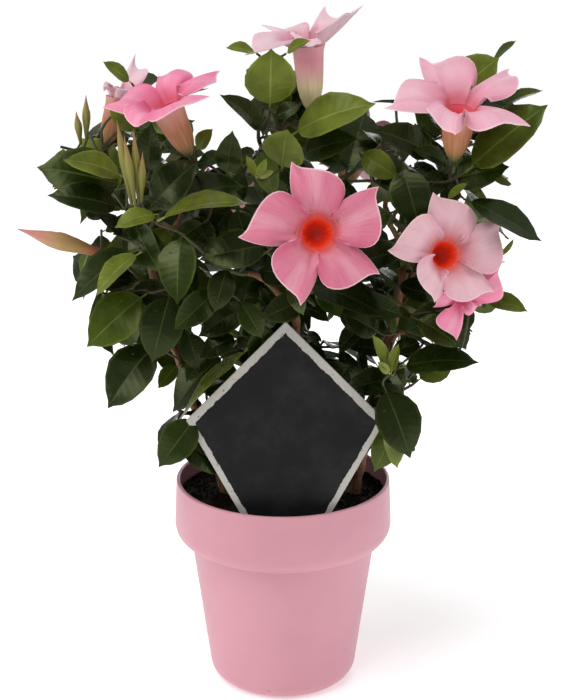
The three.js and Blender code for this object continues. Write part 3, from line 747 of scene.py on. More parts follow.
    def growFiner(self, joints, share):
        for point, along, out in joints:
            for turn in fineGrowth["turns"]:
                sprout = unit(turnedAbout(out, along, turn) + along * growth["sproutRise"])
                self.growTwig(point - along * fineGrowth["fork"], sprout, sprout, fineGrowth["nodes"], 0,
                              fineGrowth["base"], fineGrowth["internode"], self.leaf * share, True)


# Short shoots straight from the stems, each grown by the spray in whose part of the crown it starts
def growStemShoots():
    turn = 0.0
    for name in stems:
        path = limbs[name].path
        for reach in np.arange(fineGrowth["stemFrom"] * path.length, path.length, fineGrowth["stemStep"]):
            root = path.at(reach / path.length)
            along = path.heading(reach / path.length)
            turn += fineGrowth["stemTurn"]
            out = turnedAbout(unit(np.cross(along, (0.0, 1.0, 0.0))), along, turn)
            start = unit(out + along * fineGrowth["stemRise"])
            ahead = start * fineGrowth["stemReach"]
            spray = min(sprays, key=lambda s: np.linalg.norm(s.middle - root - ahead))
            spray.growTwig(root, start, start, fineGrowth["nodes"], 0,
                           fineGrowth["base"] * fineGrowth["stemBase"], fineGrowth["internode"],
                           spray.leaf * fineGrowth["stemLeaf"], True)


# Leaves at the front: base and tip as places in the picture with a depth, width in the picture, shape, tone
frontLeaves = [
    ((125, 186, -72), (36, 167, -84), 52, 1, "dark"),
    ((124, 178, -86), (62, 160, -94), 24, 3, "olive"),
    ((122, 209, -86), (47, 196, -96), 32, 0, "deep"),
    ((150, 174, -66), (151, 122, -72), 28, 4, "deep"),
    ((150, 209, -90), (199, 161, -100), 42, 1, "deep"),
    ((157, 221, -104), (251, 203, -112), 16, 0, "olive"),
    ((158, 215, -108), (114, 227, -122), 18, 3, "olive"),
    ((164, 204, -78), (246, 186, -84), 32, 1, "dark"),
    ((270, 246, -92), (199, 259, -104), 40, 3, "deep"),
    ((138, 250, -82), (71, 301, -92), 32, 0, "dark"),
    ((142, 252, -98), (96, 297, -108), 18, 4, "olive"),
    ((147, 293, -84), (87, 347, -94), 48, 1, "mid"),
    ((170, 292, -86), (152, 363, -98), 52, 1, "deep"),
    ((158, 342, -70), (107, 408, -82), 46, 1, "deep"),
    ((196, 416, -58), (158, 467, -70), 44, 3, "dark"),
    ((252, 346, -42), (178, 421, -50), 13, 7, "young"),
    ((228, 354, -36), (173, 412, -42), 34, 1, "dark"),
    ((270, 110, -72), (271, 48, -80), 54, 6, "olive"),
    ((257, 54, -70), (226, 48, -78), 10, 4, "olive"),
    ((286, 53, -70), (311, 40, -78), 11, 4, "olive"),
    ((263, 134, -62), (219, 95, -70), 20, 0, "dark"),
    ((292, 135, -72), (377, 104, -84), 38, 3, "olive"),
    ((282, 170, -84), (288, 129, -104), 43, 6, "olive"),
    ((300, 157, -68), (358, 139, -84), 30, 0, "dark"),
    ((226, 176, -60), (233, 131, -70), 28, 4, "dark"),
    ((433, 157, -70), (373, 130, -84), 30, 0, "deep"),
    ((402, 164, -84), (420, 230, -98), 48, 1, "deep"),
    ((449, 181, -92), (509, 167, -102), 36, 1, "dark"),
    ((452, 100, -48), (500, 57, -58), 40, 6, "olive"),
    ((492, 62, -50), (517, 40, -56), 7, 7, "mid"),
    ((466, 172, -94), (548, 105, -104), 44, 7, "mid"),
    ((500, 109, -76), (543, 91, -84), 12, 4, "mid"),
    ((463, 198, -98), (542, 242, -108), 24, 7, "dark"),
    ((484, 299, -84), (528, 312, -92), 20, 4, "olive"),
    ((399, 368, -74), (479, 363, -86), 32, 1, "dark"),
    ((383, 386, -72), (410, 459, -84), 47, 1, "deep"),
    ((386, 424, -60), (398, 468, -66), 22, 3, "olive"),
    ((455, 308, -78), (404, 332, -88), 36, 3, "deep"),
    ((414, 318, -86), (461, 347, -96), 28, 0, "dark"),
    ((391, 374, -88), (372, 334, -94), 13, 5, "young"),
    ((391, 374, -88), (398, 343, -94), 11, 5, "young"),
    ((390, 374, -88), (378, 362, -98), 9, 5, "young"),
    ((304, 284, -92), (388, 318, -104), 36, 1, "deep"),
    ((350, 268, -66), (409, 251, -82), 30, 0, "deep"),
    ((256, 178, -98), (246, 156, -104), 9, 5, "young"),
    ((256, 178, -98), (266, 158, -104), 9, 5, "young"),
    ((256, 178, -98), (274, 170, -106), 9, 5, "olive"),
    ((218, 289, -88), (174, 330, -100), 36, 2, "dark"),
    ((227, 266, -88), (214, 313, -98), 34, 3, "deep"),
    ((428, 222, -80), (400, 268, -92), 34, 2, "dark"),
    ((448, 166, -80), (412, 150, -88), 17, 0, "dark"),
    ((446, 172, -76), (420, 197, -86), 24, 1, "deep"),
    ((440, 172, -72), (458, 204, -80), 22, 3, "deep"),
    ((446, 200, -98), (468, 183, -104), 8, 5, "olive"),
    ((386, 352, -40), (345, 346, -46), 20, 0, "deep"),
    ((422, 342, -60), (390, 354, -66), 18, 3, "deep"),
    ((238, 336, -54), (199, 358, -60), 24, 1, "deep"),
    ((207, 352, -46), (186, 382, -52), 20, 0, "dark"),
    ((306, 300, -78), (262, 318, -88), 30, 1, "deep"),
    ((240, 300, -80), (262, 338, -84), 26, 3, "dark"),
    ((360, 300, -72), (404, 316, -82), 30, 0, "deep"),
    ((205, 222, -76), (168, 246, -88), 28, 2, "deep"),
    ((316, 140, -52), (341, 166, -64), 26, 1, "dark"),
    ((360, 152, -60), (398, 178, -70), 30, 3, "olive"),
    ((250, 306, -46), (198, 336, -52), 32, 1, "deep"),
    ((380, 334, -44), (342, 312, -52), 28, 3, "deep"),
    ((440, 212, -56), (413, 250, -64), 28, 1, "deep"),
    ((454, 260, -72), (427, 300, -80), 26, 0, "deep"),
    ((383, 358, -50), (405, 389, -56), 20, 3, "deep"),
    ((196, 150, -58), (213, 129, -64), 16, 3, "olive"),
    ((190, 214, -40), (214, 250, -46), 34, 1, "deep"),
    ((236, 206, -44), (250, 250, -50), 32, 1, "deep"),
    ((346, 296, -26), (356, 336, -30), 24, 0, "deep"),
    ((180, 364, -40), (158, 388, -46), 17, 3, "mid"),
    ((366, 322, -38), (338, 354, -44), 20, 0, "deep"),
    ((296, 302, -44), (330, 322, -50), 18, 1, "deep"),
    ((440, 304, -66), (467, 350, -74), 34, 1, "deep"),
    ((132, 83, -52), (103, 61, -58), 14, 7, "olive"),
    ((141, 130, -62), (108, 104, -68), 28, 1, "olive"),
    ((232, 198, -30), (196, 222, -36), 28, 1, "deep"),
    ((186, 330, -50), (200, 372, -56), 28, 1, "deep"),
    ((430, 250, -40), (446, 300, -46), 34, 1, "deep"),
    ((462, 270, -60), (486, 308, -66), 28, 1, "deep"),
    ((124, 238, -66), (97, 213, -74), 14, 3, "deep"),
    ((234, 206, -34), (209, 240, -40), 24, 1, "deep"),
]
# Limits and steps of depth, clearances, what hides a front leaf, its shoot, and how twigs are cut back
frontGrowth = {
    "far": 10, "near": -124, "nearTip": -130, "goBack": 2, "comeForward": 1, "clear": 2, "rim": 1,
    "ahead": (14, 28), "aheadClear": 6, "hidePlace": 5, "hideDepth": 2, "hideShare": 0.3, "strayShare": 0.12,
    "shoot": (1.0, 0.8), "lead": 9, "skyCost": 0.15, "nearest": 6, "tried": 120, "triedStep": 4,
    "steps": 41, "rootSteps": 3, "leastTwig": 0.08, "loose": 3.0, "bears": 2.5, "bearsFrom": 4,
    "bladeFrom": 0.16, "rows": 15, "columns": 9, "spots": (0.1, 1, 19), "shown": (0, 0.9, 16), "room": 20000,
}
# The camera: place, tilt, focal length in pixels and middle of the picture
eye = vec((0.4, -1250, 668))
eyeDown = math.radians(17.6)
eyeFocal = 1710
pictureMiddle = (283.5, 350)


# Where points fall in the camera's picture, and how far off they are
def seen(points):
    away = np.atleast_2d(points) - eye
    forward = away[:, 1] * math.cos(eyeDown) - away[:, 2] * math.sin(eyeDown)
    rise = away[:, 1] * math.sin(eyeDown) + away[:, 2] * math.cos(eyeDown)
    across = pictureMiddle[0] + eyeFocal * away[:, 0] / forward
    down = pictureMiddle[1] - eyeFocal * rise / forward
    return np.stack([across, down], axis=1), forward


# The point at a depth that a place in the picture shows, to the millimetre
def shownAt(across, down, depth):
    right = (across - pictureMiddle[0]) / eyeFocal
    rise = (pictureMiddle[1] - down) / eyeFocal
    level, dip = math.cos(eyeDown), math.sin(eyeDown)
    ray = vec((right, level + rise * dip, rise * level - dip))
    return np.round(eye + ray * (depth - eye[1]) / ray[1])


# The crown's upper edge across the picture, its left and right edges by height, and the gaps in it
skyline = vec([
    (0, 228), (30, 168), (60, 146), (100, 120), (125, 60), (190, 68), (216, 84), (219, 128), (246, 128),
    (250, 52), (300, 48), (325, 62), (331, 98), (384, 102), (400, 92), (430, 62), (470, 58), (501, 54),
    (505, 74), (528, 96), (548, 104), (567, 228),
])
crownSides = vec([
    (150, 60, 530), (163, 44, 512), (185, 44, 500), (200, 56, 480), (209, 78, 498), (222, 94, 520),
    (236, 98, 534), (248, 80, 502), (262, 66, 500), (282, 74, 503), (306, 88, 514), (316, 88, 478),
    (346, 86, 464), (354, 112, 462), (368, 110, 476), (380, 105, 452), (388, 105, 408), (404, 108, 414),
    (410, 160, 420), (438, 158, 423), (452, 158, 414), (468, 162, 394), (480, 182, 384),
])
skyGaps = vec([
    (314, 319, 10, 8), (331, 331, 12, 8), (228, 134, 30, 12), (393, 222, 11, 15), (358, 180, 11, 10),
    (190, 398, 9, 14), (213, 340, 7, 7), (424, 400, 9, 16), (158, 396, 24, 14), (392, 118, 22, 11),
])


# Which points fall where the picture shows sky
def inSky(points):
    x, y = seen(points)[0].T
    above = y < np.interp(x, skyline[:, 0], skyline[:, 1])
    beside = (y > crownSides[0, 0]) & ((x < np.interp(y, crownSides[:, 0], crownSides[:, 1]))
                                       | (x > np.interp(y, crownSides[:, 0], crownSides[:, 2])))
    gap = (((x[:, None] - skyGaps[:, 0]) / skyGaps[:, 2]) ** 2
           + ((y[:, None] - skyGaps[:, 1]) / skyGaps[:, 3]) ** 2 < 1).any(axis=1)
    return above | beside | gap


def skyShare(points):
    return float(np.mean(inSky(points)))


# A front leaf, turned about its own line until it shows its width; it is then grown with all the others
def frontLeaf(row, back=0, grow=leafGloss["grow"]):
    base, tip, shownWidth, shape, tone = row
    base, tip = (shownAt(across, down, depth + back) for across, down, depth in (base, tip))
    look = leafShapes[shape]
    half = look["bend"] / 2
    stretch = math.hypot(1, half)
    length = np.linalg.norm(tip - base) / stretch
    flatWidth = length * look["width"] * eyeFocal / np.linalg.norm(eye - base)
    roll = math.radians(round(math.degrees(math.acos(min(1, shownWidth / flatWidth)))))
    length /= grow
    chord = unit(tip - base)
    toEye = eye - base
    toEye = unit(toEye - chord * (toEye @ chord))
    lift = np.cross(chord, toEye)
    lift = lift if lift[2] > 0 else -lift
    facing = toEye * math.cos(roll) + lift * math.sin(roll)
    axis = (chord + facing * half) / stretch
    normal = (facing - chord * half) / stretch
    return {"base": base, "axis": axis, "normal": normal, "side": np.cross(axis, normal), "length": length,
            "width": length * look["width"], "shape": shape, "tone": tone, "fine": False,
            "bend": look["bend"], "fold": look["fold"]}


def pierces(points, leaf):
    along, across, lift = besideLeaf(points, leaf)
    inside = (along > leaf["length"] * growth["stalk"]) & (along < leaf["length"])
    wide = halfWidth(np.clip(along / leaf["length"], 0, 1)) * leaf["width"] + frontGrowth["rim"]
    return inside & (np.abs(across) < wide) & (lift < frontGrowth["clear"])


# How far back each front leaf goes so that no two touch: the far one of two goes back, the near one forward
def partedDepths():
    back = [0] * len(frontLeaves)
    rows, columns = frontGrowth["rows"], frontGrowth["columns"]
    shares = np.repeat(np.linspace(frontGrowth["bladeFrom"], 1, rows), columns)
    sides = np.tile(np.linspace(-1, 1, columns), rows)

    def place(k):
        leaf = frontLeaf(frontLeaves[k], back[k], 1)
        points = leafPoints(leaf, shares, sides)
        middle = points.mean(axis=0)
        return {"leaf": leaf, "points": points, "middle": middle, "row": k,
                "young": leaf["shape"] == youngShape,
                "reach": np.max(np.linalg.norm(points - middle, axis=1)) + frontGrowth["clear"],
                "off": np.mean(np.linalg.norm(points - eye, axis=1))}

    placed = [place(k) for k in range(len(frontLeaves))]
    touching = True
    while touching:
        touching = False
        for p, q in itertools.combinations(range(len(placed)), 2):
            far, near = sorted((placed[p], placed[q]), key=lambda item: -item["off"])
            apart = np.linalg.norm(far["middle"] - near["middle"]) > far["reach"] + near["reach"]
            if apart or far["young"] and near["young"]:
                continue
            if pierces(far["points"], near["leaf"]).any() or pierces(near["points"], far["leaf"]).any():
                touching = True
                base, tip = (end[2] + back[near["row"]] for end in frontLeaves[near["row"]][:2])
                if frontLeaves[far["row"]][0][2] + back[far["row"]] < frontGrowth["far"]:
                    back[far["row"]] += frontGrowth["goBack"]
                if base > frontGrowth["near"] and tip > frontGrowth["nearTip"] and not near["young"]:
                    back[near["row"]] -= frontGrowth["comeForward"]
                for item in (far, near):
                    placed[item["row"]] = place(item["row"])
    return back


# Ends each twig where it would run bare into the sky or through a front leaf; what stood beyond goes too
def cutTwigs(leaves, shoots=()):
    shares = np.linspace(0, 1, frontGrowth["steps"])
    twigs = [t for s in sprays for t in s.twigs]
    lines = {twig: np.array([twig.path.at(u) for u in shares]) for twig in twigs}
    for twig, points in lines.items():
        sky = inSky(points)
        clear = np.flatnonzero(np.cumsum(sky) == 0) if twig.fine else np.flatnonzero(~sky)
        last = clear[-1] if len(clear) else 0
        struck = np.flatnonzero(np.any([pierces(points, leaf) for leaf in leaves], axis=0))
        last = min([last, *[k - 1 for k in struck if k > frontGrowth["rootSteps"]]])
        twig.end = min(twig.end, shares[last])
    kept = np.concatenate([limb.marks(2)[0] for limb in limbs.values()])

    def loose(point):
        return np.min(np.sum((kept - point) ** 2, axis=1)) > frontGrowth["loose"] ** 2

    waiting = [t for t in twigs if t.end >= frontGrowth["leastTwig"]]
    twigs = []
    while True:  # from the limbs outwards
        reached = [t for t in waiting if not loose(lines[t][0])]
        if not reached:
            break
        twigs += reached
        waiting = [t for t in waiting if t not in reached]
        kept = np.concatenate([kept] + [lines[t][shares <= t.end] for t in reached])
    while shoots:  # then bare ends, and twigs that carry nothing any more
        carried = [leaf["base"] for s in sprays for leaf in s.leaves + s.tips if not loose(leaf["base"])]
        carriers = [*twigs, *shoots]
        held = np.array(carried + [t.path.at(0) for t in carriers])
        bare = []
        for twig in twigs:
            away = np.sum((held[:, None] - lines[twig][None]) ** 2, axis=2)
            away[len(carried) + carriers.index(twig)] = np.inf
            bears = away.min(axis=0) < frontGrowth["bears"] ** 2
            bears &= (shares * twig.path.length > frontGrowth["bearsFrom"]) & (shares <= twig.end)
            if bears.any():
                twig.end = shares[np.flatnonzero(bears)[-1]]
            else:
                bare.append(twig)
        if not bare:
            break
        twigs = [t for t in twigs if t not in bare]
    for spray in sprays:
        spray.twigs = [t for t in spray.twigs if t in twigs]
        spray.leaves = [leaf for leaf in spray.leaves if not loose(leaf["base"])]
        spray.tips = [tip for tip in spray.tips if not loose(tip["base"])]
        spray.joints = [joint for joint in spray.joints if not loose(joint[0])]


# A shoot to a point from a place near it, short and across little sky
def shootTo(point, heading, thick, lead, others=()):
    carriers = [*limbs.values(), *[t for s in sprays for t in s.twigs], *others]
    spots = [(limb, u) for limb in carriers for u in np.linspace(*frontGrowth["spots"]) if u <= limb.end]
    places = np.array([limb.path.at(u) for limb, u in spots])
    tooNear = np.linalg.norm(places - point, axis=1) < frontGrowth["nearest"]
    order = np.argsort(np.linalg.norm(places - point + heading * lead, axis=1) + 1e3 * tooNear)
    tried = order[:frontGrowth["tried"]:frontGrowth["triedStep"]]
    shoots = [sideLimb(*spots[k], point, heading, *thick) for k in tried]
    shown = np.linspace(*frontGrowth["shown"])
    lines = [np.array([shoot.path.at(u) for u in shown]) for shoot in shoots]
    costs = [(skyShare(line) + frontGrowth["skyCost"]) * shoot.path.length
             for line, shoot in zip(lines, shoots)]
    return shoots[int(np.argmin(costs))]


# Sets the front leaves on shoots from the nearest limb or twig, in place of what would hide or touch them
def growFront():
    front = Marks(frontGrowth["room"])
    leaves = [frontLeaf(row, back) for row, back in zip(frontLeaves, partedDepths())]
    for leaf in leaves:
        points = leafPoints(leaf, markShares, markSides)
        front.add(points, 1)
        marks.add(points, 1)
        toEye = unit(eye - leaf["base"])
        for ahead in frontGrowth["ahead"]:
            marks.add(points[::3] + toEye * ahead, frontGrowth["aheadClear"])
    place, off = seen(front.points[:front.count])
    dropped = 0
    for spray in sprays:
        kept = []
        for leaf in spray.leaves:
            points = leafPoints(leaf, markShares, markSides)
            own, ownOff = seen(points)
            over = np.linalg.norm(own[:, None] - place[None], axis=2) < frontGrowth["hidePlace"]
            hides = np.any(over & (ownOff[:, None] < off[None] - frontGrowth["hideDepth"]), axis=1)
            stray = skyShare(points) > frontGrowth["strayShare"]
            if leafTouches(leaf, front) or hides.mean() > frontGrowth["hideShare"] or stray:
                dropped += 1
            else:
                kept.append(leaf)
        spray.leaves = kept
        spray.tips = [tip for tip in spray.tips if skyShare(tip["base"] + tip["axis"] * tip["length"]) == 0]
    print("front leaves:", len(leaves), "set,", dropped, "others dropped")
    cutTwigs(leaves)
    shoots = []
    for leaf in leaves:
        shoots.append(shootTo(leaf["base"], leaf["axis"], frontGrowth["shoot"], frontGrowth["lead"], shoots))
    return leaves, shoots


# A head's mouth, edge, lift and outside as shares of its reach and tube, and the rings that mark it
headSizes = {
    "mouth": 0.29, "closed": 0.45, "opens": 0.55, "lift": 1.2, "neck": 3.4, "neckAt": 0.24,
    "throat": 0.95, "throatAt": 0.72, "middle": 0.62, "middleLift": 0.5, "collar": (0.58, 0.42),
    "ringFrom": (0.3, 0.2, 1), "ringCount": (6, 18), "ringWide": 12, "ringStep": 8, "ringClear": 6,
    "ahead": (0.5, 1), "aheadRings": (0.4, 0.9), "aheadClear": 10,
}
# How far stalks reach into heads and buds, where a second stalk leaves the first, and marks along a bud
stalkSizes = {"inHead": 2, "inBud": 4, "second": 0.45, "budMarks": 10, "budClear": 0.55}


class Head:
    # one trumpet: a frame of axis and two spokes, and the sizes of its tube and petals
    def __init__(self, row):
        mouth, face, self.reach, self.tube, self.opening, self.turn, self.palette = row
        self.axis = unit(vec(face))
        swing = Vector((0, 1, 0)).rotation_difference(Vector(self.axis))
        self.spokeX = vec(swing @ Vector((1, 0, 0)))
        self.spokeZ = vec(swing @ Vector((0, 0, 1)))
        self.base = vec(mouth) - self.axis * self.tube
        self.stalkEnd = self.base + self.axis * stalkSizes["inHead"]
        self.mouth = headSizes["mouth"] * self.reach
        self.edge = self.reach * (headSizes["closed"] + headSizes["opens"] * self.opening)
        self.lift = self.reach * headSizes["lift"] * (1 - self.opening)

    def outside(self):
        s = headSizes
        return [(0, 0), (s["neck"], self.tube * s["neckAt"]),
                (s["throat"] * self.mouth, self.tube * s["throatAt"]),
                (s["middle"] * self.edge, self.tube + self.lift * s["middleLift"]),
                (self.edge, self.tube + self.lift)]

    # how far the tube's rim draws in to stay under petals that stand up
    def collar(self):
        least, more = headSizes["collar"]
        return least + more * self.opening

    def place(self, radius, height, angle):
        spoke = np.multiply.outer(np.sin(angle), self.spokeX) + np.multiply.outer(np.cos(angle), self.spokeZ)
        return self.base + np.multiply.outer(height, self.axis) + np.asarray(radius)[..., None] * spoke

    def marks(self):
        across = unit(np.cross(headSizes["ringFrom"], self.axis))
        points = []
        radii = []

        def ring(radius, height, clear):
            count = headSizes["ringCount"][radius > headSizes["ringWide"]]
            for k in range(count):
                spoke = turnedAbout(across, self.axis, 2 * math.pi * k / count)
                points.append(self.base + self.axis * height + spoke * radius)
                radii.append(clear)

        outside = self.outside()
        for (r0, z0), (r1, z1) in zip(outside, outside[1:]):
            steps = math.ceil(math.hypot(r1 - r0, z1 - z0) / headSizes["ringStep"])
            for k in range(1, steps + 1):
                ring(r0 + (r1 - r0) * k / steps, z0 + (z1 - z0) * k / steps, headSizes["ringClear"])
        reach, height = outside[-1]
        for ahead, share in itertools.product(headSizes["ahead"], headSizes["aheadRings"]):
            ring(share * reach, height + ahead * growth["clearAhead"], headSizes["aheadClear"])
        return np.array(points), np.array(radii)


class Bloom:
    # the heads and buds on one stalk
    def __init__(self, row, limbs):
        limb, at, heads, buds = row
        self.heads = [Head(h) for h in heads]
        self.buds = [(vec(root), vec(tip), width) for root, tip, width in buds]
        ends = [(h.stalkEnd, h.axis) for h in self.heads]
        for root, tip, width in self.buds:
            ends.append((root + unit(tip - root) * stalkSizes["inBud"], unit(tip - root)))
        self.stalks = []
        for point, face in ends:
            parent = self.stalks[0] if self.stalks else limbs[limb]
            place = stalkSizes["second"] if self.stalks else at
            thick = growth["bloomStalk"]
            self.stalks.append(sideLimb(parent, place, point, face, thick, thick))

    def mark(self, marks):
        for stalk in self.stalks:
            marks.add(*stalk.marks(growth["limbStep"]))
        for root, tip, width in self.buds:
            count = stalkSizes["budMarks"]
            points = np.array([root + (tip - root) * k / count for k in range(count + 1)])
            marks.add(points, width * stalkSizes["budClear"])
        for head in self.heads:
            marks.add(*head.marks())


def tally(label):
    print(label, sum(len(s.leaves) for s in sprays), "leaves,", sum(len(s.twigs) for s in sprays), "twigs")


limbs = {name: stemLimb(row) for name, row in stems.items()}
sprays = [Spray(i, row, limbs) for i, row in enumerate(sprayRows)]
marks = Marks()
for limb in limbs.values():
    marks.add(*limb.marks(growth["limbStep"]))
blooms = {name: Bloom(row, limbs) for name, row in bloomRows.items()}
for bloom in blooms.values():
    bloom.mark(marks)
for spray in sprays:
    spray.settle(sprays, marks)
for spray in sprays:
    spray.grow()
tally("grown by the source's rule:")
frontSet, frontShoots = growFront()
for spray in sprays:
    spray.growFiner(spray.joints, fineGrowth["leaf"])
growStemShoots()
for spray in sprays:
    spray.growFiner(list(spray.fineJoints), fineGrowth["finest"])
cutTwigs(frontSet, frontShoots)
tally("with the finer shoots:")


# Pot

potLook = {
    "colour": (0.62, 0.288, 0.344), "worn": (0.58, 0.260, 0.314), "roughness": 0.42, "sides": 160,
    "speck": (0.42, 0.17, 0.2), "peel": 520, "peelDepth": 0.00006,
    "cloud": 14, "specks": 150, "scuffs": (30, 30, 260),
}


def paintPot(graph):
    place = graph.place()
    cloud = graph.noise(place, potLook["cloud"], 4)
    speck = graph.step(graph.noise(place, potLook["specks"], 2), 0.74, 0.78)
    tone = graph.mix(graph.step(cloud, 0.35, 0.75), potLook["colour"], potLook["worn"])
    scuff = graph.noise(graph.stretched(place, potLook["scuffs"]), 1.0, 2)
    peel = graph.noise(place, potLook["peel"], 2)
    return {
        "Base Color": graph.mix(speck * 0.5, tone, potLook["speck"]),
        "Roughness": scuff * 0.14 + (potLook["roughness"] - 0.07),
        "Normal": graph.bump(peel + scuff * 0.4, 0.35, potLook["peelDepth"]),
    }


# Hollow under the base, its ring, the bead under the band, and how the band swells
potDetail = {
    "middle": 20, "hollow": 1.2, "ring": (6, 4), "bead": ((0, 1.1), (0.45, 0.8), (0.5, 0.25)),
    "shoulderIn": 0.1, "shoulderFrom": -86, "swell": 0.8, "swellHeight": 18,
}


def potProfile():
    s, d = potSizes, potDetail
    foot = s["height"] - s["band"]
    lip = s["wall"] / 2
    inner = s["rim"] - s["wall"]
    base = s["bodyBottom"] - s["corner"]
    tuck = d["shoulderIn"]
    return [
        (d["middle"], d["hollow"]), (base - d["ring"][0], d["hollow"]), (base - d["ring"][1], 0),
        *arc((base, s["corner"]), (s["corner"], s["corner"]), -90, 0, 12),
        *[(s["bodyBottom"] + (s["bodyTop"] - s["bodyBottom"]) * t, s["corner"] + (foot - s["corner"]) * t)
          for t in (0.25, 0.5, 0.75, 0.97)],
        *[(s["bodyTop"] + out, foot - down) for out, down in d["bead"]],
        *arc((s["bodyTop"] + tuck, foot + s["shoulder"]), (s["rim"] - s["bodyTop"] - tuck, s["shoulder"]),
             d["shoulderFrom"], 0, 14),
        (s["lip"] + d["swell"], foot + s["shoulder"] + d["swellHeight"]),
        *arc((s["lip"] - lip, s["height"] - lip), (lip, lip), 0, 180, 10),
        (inner, foot + s["shoulder"]), (s["bodyTop"] - s["wall"], foot),
        (s["bodyBottom"] - s["wall"], s["corner"]),
        (s["bodyBottom"] - s["wall"] - s["corner"] / 2, s["floor"]), (d["middle"], s["floor"]),
    ]


potShape = turnedShape(potProfile(), potLook["sides"])
keep(potShape.object("banded_pot", [finish("pink_plastic", {"Specular IOR Level": 0.5}, paintPot)], 40),
     ["pot"])
print("pot turned")


# Compost: a bed with a rough top and crumbs scattered on it

compostLook = {
    "dark": (0.006, 0.0035, 0.002), "damp": (0.016, 0.009, 0.005), "light": (0.045, 0.026, 0.014),
    "mound": 0.004, "moundScale": 45.0,
    "crumbs": 90000.0, "crumbSize": 0.0021, "seed": 11, "sides": 96,
    "middle": 4, "base": 4.5, "rounding": 8, "topIn": 2, "rings": (0.03, 0.97, 30), "rough": 4,
    "crumbSpin": 6.28, "crumbLeast": (0.25, 0.2, 0.15), "crumbMost": (1.3, 0.8, 0.6),
    "grain": 260, "relief": (0.2, 0.75, 0.8, 0.0012),
}


def paintCompost(graph):
    place = graph.place()
    grain = graph.noise(place, compostLook["grain"], 4, 0.7)
    stops = [(0.3, compostLook["dark"]), (0.62, compostLook["damp"]), (0.8, compostLook["light"])]
    return coated(graph, graph.ramp(grain, stops), grain, compostLook["relief"])


def compostTree():
    sizes = {"Mound": "Float", "Mound Scale": "Float", "Crumbs": "Float", "Crumb Size": "Float",
             "Seed": "Int", "Compost": "Material"}
    graph, given = geometryTree("CompostBed", sizes)
    position = graph.node("GeometryNodeInputPosition")
    height = graph.axes(position)[2]
    soilTop = potSizes["soilTop"]
    surface = graph.step(height, (soilTop - compostLook["rough"]) * mm, soilTop * mm)
    swell = (graph.noise(position, given["Mound Scale"], 3) - 0.5) * surface * given["Mound"]
    lifted = graph.node("ShaderNodeCombineXYZ", None, {"Z": swell * 2})
    bed = graph.node("GeometryNodeSetPosition", None, {"Geometry": given["Geometry"], "Offset": lifted})
    top = graph.math("GREATER_THAN", surface, 0.5)
    points = graph.node("GeometryNodeDistributePointsOnFaces", None,
                        {"Mesh": bed, "Selection": top, "Density": given["Crumbs"], "Seed": given["Seed"]})
    crumb = graph.node("GeometryNodeMeshIcoSphere", None, {"Radius": given["Crumb Size"], "Subdivisions": 1})
    turn = graph.node("FunctionNodeRandomValue", {"data_type": "FLOAT_VECTOR"},
                      {1: (compostLook["crumbSpin"],) * 3, "Seed": given["Seed"]})
    size = graph.node("FunctionNodeRandomValue", {"data_type": "FLOAT_VECTOR"},
                      {0: compostLook["crumbLeast"], 1: compostLook["crumbMost"], "Seed": given["Seed"]})
    crumbs = graph.node("GeometryNodeInstanceOnPoints", None,
                        {"Points": points, "Instance": crumb, "Rotation": turn, "Scale": size})
    joined = graph.node("GeometryNodeJoinGeometry", None, {0: bed})
    graph.tree.links.new(crumbs.socket, joined.socket.node.inputs[0])
    return closeTree(graph, joined, given["Compost"])


def compostBed():
    s = potSizes
    inset = s["wall"] + s["gap"]
    foot = s["height"] - s["band"]
    base = compostLook["base"]
    side = s["bodyBottom"] - inset
    top = s["rim"] - inset - compostLook["topIn"]
    profile = [(compostLook["middle"], base), (side - compostLook["rounding"], base), (side, s["corner"]),
               (s["bodyTop"] - inset, foot), (s["rim"] - inset, foot + s["shoulder"]), (top, s["soilTop"]),
               *[(top * (1 - t), s["soilTop"]) for t in np.linspace(*compostLook["rings"])]]
    return turnedShape(profile, compostLook["sides"]).mesh("compost", [])


compost = grownObject("compost", compostBed(), compostTree(), {
    "Mound": compostLook["mound"], "Mound Scale": compostLook["moundScale"], "Crumbs": compostLook["crumbs"],
    "Crumb Size": compostLook["crumbSize"], "Seed": compostLook["seed"],
    "Compost": finish("damp_compost", {"Specular IOR Level": 0.2}, paintCompost),
})
keep(compost, ["soil"])
print("compost spread")


# Label: a bare slate-look card with a pale chalky border

labelLook = {
    "slate": (0.010, 0.010, 0.011), "dust": (0.026, 0.026, 0.027), "border": (0.56, 0.54, 0.50),
    "worn": (0.42, 0.40, 0.36), "softEdge": 0.0003, "scratched": (0.0012, 0.0045),
    "borderUpper": 5.8, "borderLower": 4.6, "ragged": 2.2, "bevel": 0.3, "roughness": 0.5,
    "raggedScale": 95, "scratches": (420, 1, 240), "dustScale": 26, "flecks": 700, "fleckDepth": 0.0001,
}


def labelOutline():
    s = labelSizes
    foot = potSizes["soilTop"] + s["footRise"]
    spike = potSizes["soilTop"] - s["spikeDepth"]
    right = [(s["half"], s["widest"]), (s["footHalf"], foot), (s["spikeHalf"], foot - s["neck"]),
             (s["spikeHalf"], spike + s["spikeHalf"]), (s["spikeTip"], spike)]
    return [(0, s["apex"])] + right + [(-x, z) for x, z in reversed(right)]


